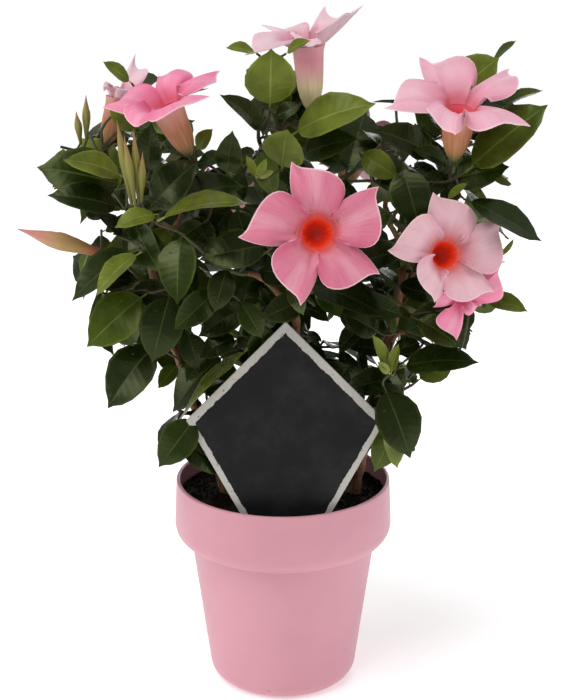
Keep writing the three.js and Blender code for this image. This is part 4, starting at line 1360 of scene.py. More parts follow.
def paintLabel(graph):
    place = graph.place()
    x, y, z = graph.axes(place)
    s = labelSizes
    side = (x - s["x"] * mm).math("ABSOLUTE")
    rise = s["apex"] - s["widest"]
    fall = s["widest"] - potSizes["soilTop"] - s["footRise"]
    slope = s["half"] - s["footHalf"]
    inside = s["half"] * mm - side
    above = z - s["widest"] * mm
    upper = (inside - above * (s["half"] / rise)) * (rise / math.hypot(rise, s["half"]))
    lower = (inside + above * (slope / fall)) * (fall / math.hypot(fall, slope))
    ragged = graph.noise(place, labelLook["raggedScale"], 5, 0.65)
    rough = (ragged - 0.5) * (labelLook["ragged"] * mm * 2)
    ratio = labelLook["borderUpper"] / labelLook["borderLower"]
    depth = upper.math("MINIMUM", lower * ratio) + rough
    edge = labelLook["borderUpper"] * mm
    border = 1 - graph.step(depth, edge - labelLook["softEdge"], edge + labelLook["softEdge"])
    lines = graph.noise(graph.stretched(place, labelLook["scratches"]), 1.0, 4, 0.7)
    scratch = graph.step(lines, 0.60, 0.66) * graph.step(depth, *labelLook["scratched"])
    dust = graph.step(graph.noise(place, labelLook["dustScale"], 5, 0.7), 0.42, 0.85)
    fleck = graph.noise(place, labelLook["flecks"], 2)
    board = graph.mix(dust, labelLook["slate"], labelLook["dust"])
    chalk = graph.mix(fleck, labelLook["border"], labelLook["worn"])
    return {
        "Base Color": graph.mix(border * (1 - scratch * 0.85), board, chalk),
        "Roughness": fleck * 0.16 + (labelLook["roughness"] - 0.08),
        "Normal": graph.bump(fleck + border, 0.25, labelLook["fleckDepth"]),
    }


def labelCard():
    outline = vec(labelOutline())
    before = np.roll(outline, 1, axis=0) - outline
    after = np.roll(outline, -1, axis=0) - outline
    inward = []
    for b, a in zip(before, after):
        normals = [unit(vec((b[1], -b[0]))), unit(vec((-a[1], a[0])))]
        inward.append((normals[0] + normals[1]) / (1 + normals[0] @ normals[1]))
    inset = outline - np.array(inward) * labelLook["bevel"]
    front = labelSizes["y"] - labelSizes["thickness"]
    rings = []
    for loop, y in ((inset, front), (outline, front + labelLook["bevel"]),
                    (outline, labelSizes["y"] - labelLook["bevel"]), (inset, labelSizes["y"])):
        rings.append([(labelSizes["x"] + px, y, pz) for px, pz in loop])
    shape = Shape()
    points = np.array(rings, dtype=float)
    index = shape.grid(points, gridUv(4, len(outline) + 1), wrap=True, flip=True)
    shape.face(index[0][::-1], [(0, 0)] * len(outline), 0)
    shape.face(index[3], [(0, 0)] * len(outline), 0)
    return shape


keep(labelCard().object("slate_label", [finish("slate_card", {"Specular IOR Level": 0.12}, paintLabel)], 30),
     ["plant_label"])
print("label cut")


# Stems, boughs, twigs and bloom stalks: tubes along their paths with a relief

limbLook = {
    "stems": {"sides": 18, "spacing": 1.6, "relief": 0.34, "grain": 420.0, "knots": 0.2, "knotStep": 27},
    "boughs": {"sides": 12, "spacing": 1.4, "relief": 0.26, "grain": 500.0, "knots": 0.18, "knotStep": 22},
    "twigs": {"sides": 7, "spacing": 2.2, "relief": 0.12, "grain": 600.0, "knots": 0.14, "knotStep": 18},
    "stalks": {"sides": 8, "spacing": 1.6, "relief": 0.08, "grain": 600.0, "knots": 0.0, "knotStep": 20},
}
barkLook = {
    "lit": (0.26, 0.128, 0.058), "shaded": (0.07, 0.033, 0.014), "fleck": (0.38, 0.25, 0.14),
    "streaks": 620, "streakShape": (1, 1, 0.16), "patches": 60, "flecks": 330, "fleckShape": (1, 1, 2.2),
    "relief": (0.25, 0.55, 0.7, 0.0006),
}
twigLook = {
    "green": (0.040, 0.050, 0.011), "brown": (0.050, 0.027, 0.011), "patches": 38, "streaks": 700,
    "relief": (0.2, 0.4, 0.3, 0.0003),
}


def paintBark(graph):
    place = graph.place()
    look = barkLook
    streak = graph.noise(graph.stretched(place, look["streakShape"]), look["streaks"], 4, 0.65)
    patch = graph.noise(place, look["patches"], 3)
    spots = graph.noise(graph.stretched(place, look["fleckShape"]), look["flecks"], 2)
    fleck = graph.step(spots, 0.68, 0.74)
    stops = [(0.34, look["shaded"]), (0.62, look["lit"])]
    tone = graph.ramp(streak * 0.6 + patch * 0.4, stops)
    return coated(graph, graph.mix(fleck * 0.7, tone, look["fleck"]), streak, look["relief"])


def paintTwig(graph):
    place = graph.place()
    patch = graph.noise(place, twigLook["patches"], 3)
    streak = graph.noise(place, twigLook["streaks"], 3)
    tone = graph.mix(graph.step(patch, 0.42, 0.62), twigLook["green"], twigLook["brown"])
    return coated(graph, tone, streak, twigLook["relief"])


def limbTree():
    sizes = {"Sides": "Int", "Spacing": "Float", "Relief": "Float", "Grain": "Float", "Bark": "Material"}
    graph, given = geometryTree("Limbs", sizes)
    curve = graph.node("GeometryNodeMeshToCurve", None, {0: given["Geometry"]})
    even = graph.node("GeometryNodeResampleCurve", {"mode": "LENGTH"},
                      {"Curve": curve, "Length": given["Spacing"]})
    ring = graph.node("GeometryNodeCurvePrimitiveCircle", None,
                      {"Resolution": given["Sides"], "Radius": 1.0})
    thick = attribute(graph, "thick")
    tube = graph.node("GeometryNodeCurveToMesh", None,
                      {"Curve": even, "Profile Curve": ring, "Scale": thick, "Fill Caps": True})
    position = graph.node("GeometryNodeInputPosition")
    ridges = graph.noise(graph.stretched(position, (1, 1, 0.22)), given["Grain"], 3, 0.6)
    swell = (ridges - 0.5) * given["Relief"] * thick * 2
    normal = graph.node("GeometryNodeInputNormal")
    offset = graph.node("ShaderNodeVectorMath", {"operation": "SCALE"}, {0: normal, "Scale": swell})
    rough = graph.node("GeometryNodeSetPosition", None, {"Geometry": tube, "Offset": offset})
    return closeTree(graph, rough, given["Bark"])


limbGrowth = limbTree()
limbPoints = {"step": 2, "least": 4, "knotFrom": 6, "knotHalf": 2.4}


# Polylines of limbs, with their thickness as an attribute and a swelling at each old leaf joint
def limbLines(name, limbList, look, start=0.0):
    points = []
    edges = []
    thick = []
    for limb in limbList:
        count = max(limbPoints["least"], math.ceil(limb.path.length / limbPoints["step"]))
        first = len(points)
        for i in range(count + 1):
            u = start + (limb.end - start) * i / count
            away = (u * limb.path.length + limbPoints["knotFrom"]) % look["knotStep"] - look["knotStep"] / 2
            knot = look["knots"] * math.exp(-(away / limbPoints["knotHalf"]) ** 2)
            points.append(limb.path.at(u) * mm)
            thick.append(limb.radiusAt(u) * (1 + knot) * mm)
        edges += [(first + i, first + i + 1) for i in range(count)]
    mesh = bpy.data.meshes.new(name)
    mesh.from_pydata(points, edges, [])
    mesh.attributes.new("thick", "FLOAT", "POINT").data.foreach_set("value", thick)
    return mesh


def growLimbs(name, limbList, kind, material, start=0.0):
    look = limbLook[kind]
    return grownObject(name, limbLines(name, limbList, look, start), limbGrowth, {
        "Sides": look["sides"], "Spacing": look["spacing"] * mm, "Relief": look["relief"],
        "Grain": look["grain"], "Bark": material})


bark = finish("bark", {"Specular IOR Level": 0.3}, paintBark)
greenTwig = finish("green_twig", {"Specular IOR Level": 0.4}, paintTwig)
foliageNodes = [n for n in nodeNames if n.startswith("foliage_")]
boughNames = [n for n in limbs if n.startswith("bough_")]
footShare = 7 / 240  # the stems' meshes start a little under the compost
keep(growLimbs("woody_stems", [limbs[n] for n in stems], "stems", bark, footShare), list(stems))
keep(growLimbs("boughs", [limbs[n] for n in boughNames], "boughs", bark), boughNames)
twigList = [t for s in sprays for t in s.twigs] + frontShoots
keep(growLimbs("twigs", twigList, "twigs", greenTwig), foliageNodes)
print("limbs grown")


# Leaves: a few outlines, set on points along the twigs

leafStations = (0.0, 0.06, 0.18, 0.35, 0.54, 0.72, 0.85, 0.925, 1.0)
leafColumns = (-1.0, -0.87, -0.035, 0.035, 0.87, 1.0)
leafZones = (3, 0, 1, 0, 3)  # rim, blade, midrib, blade, rim; the underside is 2
# Shares of the length: thickness, radii of the stalk at its two ends, where and how deep it meets the blade
leafDetail = {"thickness": 0.009, "stalk": (0.017, 0.013), "join": 0.03, "joinSunk": 0.004, "sharp": 75,
              "waves": 9, "waveLag": 3}
# Base colours of the upper face, midrib, underside and rim; the rim is lighter than the face, a painted
# highlight where the curled edge catches the light
leafTones = {
    "deep": ((0.005, 0.011, 0.0012), (0.028, 0.043, 0.007), (0.033, 0.050, 0.007), (0.013, 0.023, 0.0025)),
    "dark": ((0.011, 0.022, 0.0021), (0.043, 0.064, 0.010), (0.046, 0.067, 0.009), (0.024, 0.037, 0.0043)),
    "mid": ((0.040, 0.064, 0.005), (0.095, 0.125, 0.020), (0.095, 0.122, 0.016), (0.064, 0.090, 0.009)),
    "olive": ((0.102, 0.127, 0.013), (0.18, 0.205, 0.042), (0.15, 0.175, 0.025), (0.132, 0.158, 0.020)),
    "young": ((0.155, 0.188, 0.022), (0.25, 0.280, 0.070), (0.19, 0.222, 0.038), (0.21, 0.242, 0.044)),
}
# Shares of the tones in low, middle and high sprays, and on the finer shoots; high sprays get more light
# tones, painted light on the top of the crown along with paler young growth, and low sprays more deep tones,
# painted shade
toneShares = {
    "low": (0.50, 0.34, 0.12, 0.03, 0.01), "middle": (0.45, 0.34, 0.15, 0.05, 0.01),
    "high": (0.24, 0.34, 0.25, 0.14, 0.03), "fine": (0.48, 0.36, 0.12, 0.03, 0.01),
}


bladeOutline = {"end": 0.94, "skew": 0.92, "full": 0.6, "neck": 0.02, "neckMore": 0.03, "point": 0.5}


# Half the blade's width, as a share of its full width: rounded, then drawn out to a short point
def bladeHalf(t):
    s = bladeOutline
    share = min(t / s["end"], 1.0)
    blade = 0.5 * max(0.0, math.sin(math.pi * share ** s["skew"])) ** s["full"]
    return max(blade, min(s["neck"] + s["neckMore"] * t, s["point"] * (1 - t)))


def leafMesh(name, look):
    points = []
    faces = []
    zones = []
    uvs = []

    def surface(t, side):
        along = growth["stalk"] + (1 - growth["stalk"]) * t
        across = side * bladeHalf(t) * look["width"]
        height = -look["bend"] * along * along / 2 + abs(across) * look["fold"]
        height -= look["curl"] * abs(across) * side * side * 0.5
        wave = math.sin(leafDetail["waves"] * t + leafDetail["waveLag"] * side)
        height += look["twist"] * t * across + look["wave"] * wave * side * side
        return np.array([along, across, height])

    def add(corners, places, zone):
        faces.append(corners)
        uvs.extend(places)
        zones.append(zone)

    def strip(rows, columns, zone, flip):
        for i in range(len(leafStations) - 1):
            for j in range(len(columns) - 1):
                corners = [rows[i][j], rows[i + 1][j], rows[i + 1][j + 1], rows[i][j + 1]]
                ends = [(i, j), (i + 1, j), (i + 1, j + 1), (i, j + 1)]
                places = [((columns[c] + 1) / 2, leafStations[r]) for r, c in ends]
                kept = [k for k in range(4) if corners[k] not in corners[:k]]
                corners = [corners[k] for k in kept]
                places = [places[k] for k in kept]
                kind = leafZones[j] if len(columns) == len(leafColumns) else zone
                if flip:
                    corners.reverse()
                    places.reverse()
                add(corners, places, kind)

    top = []
    under = []
    for t in leafStations:
        if t == 1.0:
            points.append(surface(t, 0.0))
            top.append([len(points) - 1] * len(leafColumns))
            under.append([len(points) - 1] * 3)
            continue
        first = len(points)
        points.extend(surface(t, c) for c in leafColumns)
        points.append(surface(t, 0.0) - (0, 0, leafDetail["thickness"]))
        top.append([first + k for k in range(len(leafColumns))])
        under.append([first, first + len(leafColumns), first + len(leafColumns) - 1])
    strip(top, leafColumns, 0, False)
    strip(under, (-1.0, 0.0, 1.0), 2, True)
    # the stalk, three-sided
    first = len(points)
    join = surface(leafDetail["join"], 0.0) - (0, 0, leafDetail["joinSunk"])
    for middle, radius in zip((np.zeros(3), join), leafDetail["stalk"]):
        for k in range(3):
            angle = 2 * math.pi * k / 3
            points.append(middle + radius * np.array([0, math.cos(angle), math.sin(angle)]))
    for k in range(3):
        n = (k + 1) % 3
        add([first + k, first + 3 + k, first + 3 + n, first + n][::-1], [(0.5, 0)] * 4, 1)
    mesh = bpy.data.meshes.new(name)
    mesh.from_pydata([tuple(p) for p in points], [], faces)
    mesh.uv_layers.new(name="UVMap").data.foreach_set("uv", np.array(uvs, dtype=np.float32).ravel())
    mesh.attributes.new("zone", "INT", "FACE").data.foreach_set("value", zones)
    mesh.polygons.foreach_set("use_smooth", [True] * len(faces))
    mesh.set_sharp_from_angle(angle=math.radians(leafDetail["sharp"]))
    return mesh


def leafPaint(colour, gloss, veined):
    def paint(graph):
        place = graph.place()
        u, v, w = graph.axes(graph.uv())
        slant = (u - 0.5).math("ABSOLUTE") * leafGloss["veinSlant"]
        ripple = ((v * leafGloss["veins"] - slant) * math.tau).math("SINE")
        cloud = graph.noise(place, leafGloss["cloud"], 3)
        dark, light = (tuple(c * leafGloss[k] for c in colour) for k in ("darker", "lighter"))
        grain = graph.noise(place, leafGloss["grain"], 2)
        height = ripple.math("POWER", 3.0) * 0.5 + grain * 0.35 if veined else grain
        return {
            "Base Color": graph.ramp(cloud, [(0.32, dark), (0.68, light)]),
            "Roughness": graph.noise(place, leafGloss["sheen"], 3) * 0.22 + (gloss - 0.11),
            "Normal": graph.bump(height, 0.10, leafGloss["depth"]),
        }
    return paint


def leafTree(collection):
    graph, given = geometryTree("LeafSprays", {k: "Material" for k in ("Top", "Rib", "Under", "Rim")})
    shapes = graph.node("GeometryNodeCollectionInfo", None,
                        {"Collection": collection, "Separate Children": True, "Reset Children": True})
    placed = graph.node("GeometryNodeInstanceOnPoints", None, {
        "Points": given["Geometry"], "Instance": shapes, "Pick Instance": True,
        "Instance Index": attribute(graph, "shape", "INT"),
        "Rotation": attribute(graph, "turn", "QUATERNION"), "Scale": attribute(graph, "size")})
    geometry = graph.node("GeometryNodeRealizeInstances", None, {0: placed})
    zone = attribute(graph, "zone", "INT")
    for value, label in enumerate(("Top", "Rib", "Under", "Rim")):
        chosen = graph.node("FunctionNodeCompare", {"data_type": "INT", "operation": "EQUAL"},
                            {2: zone, 3: value})
        geometry = graph.node("GeometryNodeSetMaterial", None,
                              {"Geometry": geometry, "Selection": chosen, "Material": given[label]})
    return closeTree(graph, geometry)


# From which height of its spray's middle a leaf is high or middling, and how many tips are of the young tone
toneDeal = {"seed": 71, "high": 385, "middle": 290, "young": 0.6}


# The tone of each leaf, dealt by how high its spray stands: painted light high in the crown, painted shade
# low in it
def dealtTones():
    dice = Dice(toneDeal["seed"])
    dealt = {tone: [] for tone in leafTones}
    for spray in sprays:
        reached = [level for level in ("high", "middle") if spray.middle[2] > toneDeal[level]]
        level = (reached or ["low"])[0]
        for leaf in spray.leaves:
            limits = np.cumsum(toneShares["fine" if leaf["fine"] else level])
            tone = list(leafTones)[min(int(np.searchsorted(limits, dice.throw())), len(leafTones) - 1)]
            leaf["shape"] = int(dice.throw() * commonShapes)
            dealt[tone].append(leaf)
        for leaf in spray.tips:
            leaf["shape"] = youngShape
            dealt["young" if dice.throw() < toneDeal["young"] else "olive"].append(leaf)
    for leaf in frontSet:
        dealt[leaf["tone"]].append(leaf)
    return dealt


def leafPointsMesh(name, leaves):
    mesh = bpy.data.meshes.new(name)
    mesh.from_pydata([tuple(leaf["base"] * mm) for leaf in leaves], [], [])
    turns = []
    for leaf in leaves:
        across = np.cross(leaf["normal"], leaf["axis"])
        turns.extend(Matrix(np.array([leaf["axis"], across, leaf["normal"]]).T.tolist()).to_quaternion())
    sizes = [leaf["length"] * leafGloss["grow"] * mm for leaf in leaves]
    shapes = [leaf["shape"] for leaf in leaves]
    columns = (("turn", "QUATERNION", turns), ("size", "FLOAT", sizes), ("shape", "INT", shapes))
    for label, kind, values in columns:
        mesh.attributes.new(label, kind, "POINT").data.foreach_set("value", values)
    return mesh


patterns = bpy.data.collections.new("LeafPatterns")
bpy.context.scene.collection.children.link(patterns)
for i, look in enumerate(leafShapes):
    patterns.objects.link(bpy.data.objects.new(f"leaf_pattern_{i}", leafMesh(f"leaf_pattern_{i}", look)))
leafGrowth = leafTree(patterns)
for tone, leaves in dealtTones().items():
    top, rib, below, rim = leafTones[tone]
    gloss = {"Specular IOR Level": 0.42, "Specular Tint": leafGloss["tint"]}
    matt = {"Specular IOR Level": 0.16, "Specular Tint": leafGloss["tint"]}
    made = grownObject(f"leaves_{tone}", leafPointsMesh(f"leaves_{tone}", leaves), leafGrowth, {
        "Top": finish(f"leaf_{tone}", gloss, leafPaint(top, leafGloss["top"], True)),
        "Rib": finish(f"leaf_rib_{tone}", gloss, leafPaint(rib, leafGloss["rib"], False)),
        "Under": finish(f"leaf_under_{tone}", matt, leafPaint(below, leafGloss["under"], True)),
        "Rim": finish(f"leaf_rim_{tone}", gloss, leafPaint(rim, leafGloss["rim"], False))})
    keep(made, foliageNodes)
    print("leaves", tone, len(leaves))
for pattern in list(patterns.objects):
    bpy.data.objects.remove(pattern)
bpy.data.collections.remove(patterns)


# Blooms

petalPalettes = {
    "rose": {"heart": (0.66, 0.10, 0.09), "inner": (0.66, 0.235, 0.305), "outer": (0.63, 0.188, 0.275),
             "deep": (0.53, 0.097, 0.175)},
    "deep": {"heart": (0.72, 0.13, 0.20), "inner": (0.79, 0.205, 0.335), "outer": (0.81, 0.27, 0.415),
             "deep": (0.72, 0.14, 0.27)},
    "blush": {"heart": (0.72, 0.15, 0.20), "inner": (0.76, 0.33, 0.42), "outer": (0.765, 0.415, 0.505),
              "deep": (0.71, 0.30, 0.39)},
    "pale": {"heart": (0.72, 0.16, 0.14), "inner": (0.68, 0.325, 0.365), "outer": (0.71, 0.44, 0.485),
             "deep": (0.65, 0.31, 0.365)},
    "white": {"heart": (0.70, 0.15, 0.22), "inner": (0.76, 0.35, 0.44), "outer": (0.79, 0.56, 0.62),
              "deep": (0.74, 0.38, 0.47)},
}
bloomLook = {
    "petals": 5, "thickness": 0.5, "pinwheel": 0.17, "recurve": 0.42, "ruffle": 0.055, "ruffles": 7.5,
    "cup": 0.06, "rows": 15, "crease": 0.035, "creaseAt": 0.62, "creaseHalf": 0.1, "throat": 0.225,
    "throatTop": 0.80, "flare": 0.24, "flareEnd": 0.6, "liftPower": 1.2, "notch": 0.38, "stretch": 0.05,
    "skew": 0.16, "overlap": 0.2, "narrowing": 1.8, "seedStep": 17,
    # the petals' pale margin, also used as the painted highlight across their middles
    "paleEdgeAndHighlight": (0.84, 0.62, 0.63), "tubeStreak": (0.58, 0.37, 0.20), "budStreak": (0.40, 0.20, 0.09),
}
# Facets and rows of a tube, where its collar draws in, its flutes, and the sunk ring that closes it
tubeLook = {"sides": 40, "rows": 18, "drawFrom": 0.3, "drawOver": 0.5, "flute": 0.04, "fluteEnd": 0.6,
            "sunk": 0.25, "sunkAt": 0.79}
# Reach of a petal round its arc, from the notch over a rounded shoulder to the hooked tip and back
petalEdge = [
    (0, 0.45), (0.02, 0.53), (0.045, 0.61), (0.08, 0.69), (0.12, 0.755), (0.17, 0.81), (0.24, 0.855),
    (0.32, 0.888), (0.41, 0.912), (0.5, 0.93), (0.58, 0.948), (0.65, 0.968), (0.71, 0.998), (0.75, 1.045),
    (0.78, 1.12), (0.805, 1.05), (0.83, 0.975), (0.86, 0.89), (0.89, 0.80), (0.92, 0.715), (0.95, 0.62),
    (0.98, 0.52), (1, 0.45),
]
# Heads that their neighbours have shaped: reach and lift of each petal, and a slightly other pose
drawnHeads = {
    ("bloom_right", 0): {
        "sizes": ((0.95, 1), (1.0, 1), (0.98, 1), (0.95, 1), (0.8, 1)), "turn": 1.35, "width": 1.12,
        "mouth": (114, -116, 377), "face": (0.27, -0.9, 0.28)},
    ("bloom_right", 1): {
        "sizes": ((1.15, 1), (0.8, 1), (0.7, 1), (1.05, 1), (0.55, 1)), "turn": 0.75, "throat": 0.1,
        "mouth": (125, -104, 341), "face": (0.1, -0.88, -0.3), "opening": 0.85},
    ("bloom_upper_right", 0): {
        "sizes": ((1.05, 1.25), (1.15, 1.35), (1.1, 0.25), (0.85, 0.9), (1.05, 0.5)), "turn": 1.4,
        "mouth": (119, -106, 482), "width": 0.9},
    ("bloom_upper_left", 0): {
        "sizes": ((0.94, 0), (0.92, 0.5), (0.96, 2.8), (0.8, 1.5), (1.25, 1.8)), "turn": 0.55,
        "mouth": (-82, -86, 479), "face": (-0.36, -0.30, 0.88), "opening": 0.9},
    ("bloom_upper_left", 1): {
        "sizes": ((0.8, 0.5), (1.0, 1.7), (0.5, 0.6), (0.6, 0.4), (0.8, 0.6)), "turn": 1.08, "width": 0.95,
        "mouth": (-115, -40, 476), "face": (0.27, 0.1, 0.95), "opening": 0.55, "point": 1.35},
    ("bloom_top", 0): {
        "sizes": ((1.04, 1.1), (1.0, 0.88), (1.05, 0.35), (1.28, -0.08), (0.85, 0.1)), "turn": 0.45,
        "mouth": (17, -40, 515), "face": (-0.06, -0.02, 0.99), "tube": 54, "opening": 0.62, "width": 0.98,
        "point": 1.4},
    ("bloom_back_right", 0): {"mouth": (62, 132, 404), "face": (0.3, 0.78, 0.55)},
}
# Share of the tube's length and of the bloom's reach, outside and inside
tubeOutside = [
    (0, 0.045), (0.05, 0.085), (0.12, 0.13), (0.22, 0.172), (0.34, 0.205), (0.5, 0.232), (0.64, 0.255),
    (0.8, 0.285), (0.885, 0.322),
]
tubeInside = [(0.56, 0.03), (0.60, 0.11), (0.66, 0.165), (0.73, 0.202), (0.80, 0.238)]
tubeStops = {
    "salmon": [(0.0, (0.07, 0.085, 0.02)), (0.1, (0.16, 0.13, 0.04)), (0.24, (0.37, 0.17, 0.065)),
               (0.6, (0.46, 0.16, 0.085)), (1.0, (0.64, 0.27, 0.26))],
    "cream": [(0.0, (0.16, 0.17, 0.05)), (0.12, (0.58, 0.52, 0.24)), (0.4, (0.87, 0.71, 0.43)),
              (0.62, (0.86, 0.44, 0.44)), (0.8, (0.84, 0.30, 0.40)), (1.0, (0.86, 0.38, 0.48))],
}


# Change and least of the roughness, strength and depth of the relief
bloomReliefs = {
    "petal": (0.15, 0.46, 0.35, 0.0008), "throat": (0.2, 0.4, 0.4, 0.0006),
    "tube": (0.2, 0.45, 0.3, 0.0006), "bud": (0.2, 0.42, 0.25, 0.0005),
}


# Noise drawn out along a bloom's UVs, and those UVs
def drawnOut(graph, across, along, detail, roughness=0.5):
    u, v, w = graph.axes(graph.uv())
    lines = graph.node("ShaderNodeCombineXYZ", None, {"X": u * across, "Y": v * along})
    return graph.noise(lines, 1.0, detail, roughness), u, v


def paintPetal(palette, paler):
    def paint(graph):
        veins, u, v = drawnOut(graph, 30, 1.8, 4, 0.6)
        across = u.math("FRACT")
        cloud = graph.noise(graph.place(), 48, 2)
        tones = {k: tuple(c + (1 - c) * paler for c in palette[k]) for k in palette}
        stops = [(0.0, tones["heart"]), (0.07, tones["heart"]), (0.2, tones["inner"]), (0.55, tones["outer"])]
        tone = graph.ramp(v, stops)
        # painted shade: the covered side of each petal, under the next petal, is deeper; painted highlight:
        # the side by its tip and its middle are paler
        side = graph.step(across, 0.34, 0.02) * graph.step(v, 0.1, 0.35)
        patch = graph.step(cloud, 0.42, 0.68)
        shaded = graph.mix(side * 0.75 + patch * 0.25, tone, tones["deep"])
        pale = graph.step((across - 0.6).math("ABSOLUTE"), 0.16, 0.0) * graph.step(v, 0.2, 0.5)
        lit = graph.mix(pale * 0.22, shaded, bloomLook["paleEdgeAndHighlight"])
        streaked = graph.mix(graph.step(veins, 0.45, 0.72) * 0.42, lit, tones["deep"])
        edge = graph.step((across - 0.5).math("ABSOLUTE"), 0.475, 0.495) * graph.step(v, 0.5, 0.8)
        rim = graph.step(v, 0.958, 0.985).math("MAXIMUM", edge)
        colour = graph.mix(rim * 0.65, streaked, bloomLook["paleEdgeAndHighlight"])
        return coated(graph, colour, veins, bloomReliefs["petal"])
    return paint


# Throat colours from the bottom of the tube to its mouth, darker towards the bottom: painted shade deep in
# the funnel
throatStops = {
    "red": [(0.0, (0.34, 0.010, 0.003)), (0.35, (0.54, 0.018, 0.004)), (0.65, (0.70, 0.038, 0.008)),
            (0.88, (0.76, 0.062, 0.022)), (1.0, (0.70, 0.11, 0.09))],
    "pink": [(0.0, (0.40, 0.015, 0.015)), (0.5, (0.62, 0.05, 0.07)), (1.0, (0.72, 0.13, 0.18))],
}


def paintThroat(stops):
    def paint(graph):
        streak, u, v = drawnOut(graph, 40, 1.2, 2)
        lines = graph.step(streak, 0.52, 0.7) * graph.step(v, 0.15, 0.5) * graph.step(v, 1.0, 0.85)
        colour = graph.mix(lines * 0.5, graph.ramp(v, stops), tuple(c ** 0.7 for c in stops[-2][1]))
        # the throat's colours also glow faintly: painted light lifting the shade inside the tube
        return {**coated(graph, colour, streak, bloomReliefs["throat"]), "Emission Color": colour}
    return paint


def paintTube(stops):
    def paint(graph):
        streak, u, v = drawnOut(graph, 30, 1.6, 3)
        lines = graph.step(streak, 0.4, 0.7) * 0.4
        colour = graph.mix(lines, graph.ramp(v, stops), bloomLook["tubeStreak"])
        return coated(graph, colour, streak, bloomReliefs["tube"])
    return paint


def paintBud(stops):
    def paint(graph):
        streak, u, v = drawnOut(graph, 24, 3, 3)
        tone = graph.ramp(v + (streak - 0.5) * 0.16, stops)
        colour = graph.mix(streak * 0.3, tone, bloomLook["budStreak"])
        return coated(graph, colour, streak, bloomReliefs["bud"])
    return paint


def addPetals(shape, head, dice, slots, sizes, throat, width, point):
    look = bloomLook
    columns, edge = (np.array(c, dtype=float) for c in zip(*petalEdge))
    edge = np.maximum(edge.max() * (edge / edge.max()) ** point, look["notch"])
    rows = np.linspace(0, 1, look["rows"])
    throat *= head.reach * head.collar()
    for k in range(look["petals"]):
        sway = dice.centred()
        stretch = (1 + look["stretch"] * dice.centred()) * sizes[k][0]
        phase = dice.throw() * math.tau
        s, a = np.meshgrid(rows, columns ** (1 + look["skew"] * dice.centred()), indexing="ij")
        reach = edge[None, :] * stretch * head.edge
        radius = throat + (reach - throat) * s
        spread = 1.0 + look["overlap"] * s * (1 - 0.5 * s)
        spread = spread * (1 - (1 - width) * np.clip(s * look["narrowing"], 0, 1))
        angle = (k + 0.5 + (a - 0.5) * spread) * math.tau / look["petals"] + head.turn
        opened = 1 - (1 - np.clip(s / look["flareEnd"], 0, 1)) ** 2
        far = np.clip((radius - throat) / (head.edge * edge.max() - throat), 0, None)
        height = head.tube * (look["throatTop"] + look["flare"] * opened)
        height = height + head.lift * sizes[k][1] * far ** look["liftPower"]
        waves = np.sin(look["ruffles"] * a + phase)
        bend = look["pinwheel"] * (0.5 - a) * s + look["ruffle"] * waves * s ** 2
        bend -= look["recurve"] * (1 + 0.6 * sway) * np.clip(s - 0.5, 0, 1) ** 2 * head.opening
        bend -= look["cup"] * (2 * a - 1) ** 2 * s * (1 + sway)
        bend -= look["crease"] * np.exp(-((a - look["creaseAt"]) / look["creaseHalf"]) ** 2) * s
        uv = [[(k + columns[c], rows[r]) for c in range(len(columns))] for r in range(len(rows))]
        shape.sheet(head.place(radius, height + bend * head.reach, angle), uv, look["thickness"], slots)


def addTube(shape, head, slots):
    look = tubeLook
    sides = look["sides"]
    angles = np.arange(sides) * math.tau / sides + head.turn
    rings = []
    for profile, slot, inward in ((tubeOutside, slots[0], False), (tubeInside, slots[1], True)):
        places, widths = (np.array(c) for c in zip(*profile))
        heights = np.linspace(places[0], places[-1], look["rows"])
        radii = np.interp(heights, places, widths) * head.reach
        radii *= 1 - (1 - head.collar()) * np.clip((heights - look["drawFrom"]) / look["drawOver"], 0, 1)
        flute = 0 if inward else look["flute"]
        waves = np.cos(bloomLook["petals"] * (angles - head.turn))
        ripple = 1 + flute * waves * np.clip(heights / look["fluteEnd"], 0, 1)[:, None]
        angle, height = np.meshgrid(angles, heights * head.tube)
        points = head.place(radii[:, None] * ripple, height, angle)
        rings.append(shape.grid(points, gridUv(len(heights), sides + 1), slot, wrap=True, flip=inward))
        shape.fan(rings[-1][0], slot, flip=not inward)
    # a sunk collar under the petals closes the tube
    sunk = look["sunk"] * head.reach * head.collar()
    collar = head.place(np.full(sides, sunk), np.full(sides, look["sunkAt"] * head.tube), angles)
    first = len(shape.points)
    shape.points.extend(collar)
    collar = np.arange(first, first + sides)
    for outer, inner in ((rings[0][-1], collar), (collar, rings[1][-1])):
        for j in range(sides):
            n = (j + 1) % sides
            shape.face([outer[j], outer[n], inner[n], inner[j]], [(j / sides, 1.0)] * 4, slots[0])


# A furled bud: its girth along its length, and the petal edges that wind round it
budLook = {
    "along": (0, 0.1, 0.25, 0.4, 0.52, 0.64, 0.76, 0.88, 1),
    "girth": (0.15, 0.19, 0.28, 0.39, 0.45, 0.41, 0.27, 0.12, 0.02),
    "folds": 5, "wind": 1.1, "ridge": 0.16, "sides": 28, "rows": 24,
}


def addBud(shape, root, tip, width, slot):
    sides, rows = budLook["sides"], budLook["rows"]
    length = np.linalg.norm(tip - root)
    head = Head((tuple(tip), tuple((tip - root) / length), width, length, 1, 0, "rose"))
    t = np.linspace(0.0, 1.0, rows)
    angles = np.arange(sides) * math.tau / sides
    girth = np.interp(t, budLook["along"], budLook["girth"]) * width
    turn = budLook["folds"] * (angles[None, :] / math.tau) + budLook["wind"] * t[:, None]
    ridge = 1 + budLook["ridge"] * ((turn % 1.0) - 0.5) * np.clip(t * 3, 0, 1)[:, None]
    angle, height = np.meshgrid(angles, t * length)
    points = head.place(girth[:, None] * ridge, height, angle)
    index = shape.grid(points, gridUv(rows, sides + 1), slot, wrap=True)
    shape.fan(index[0], slot, flip=True)
    shape.fan(index[-1], slot)


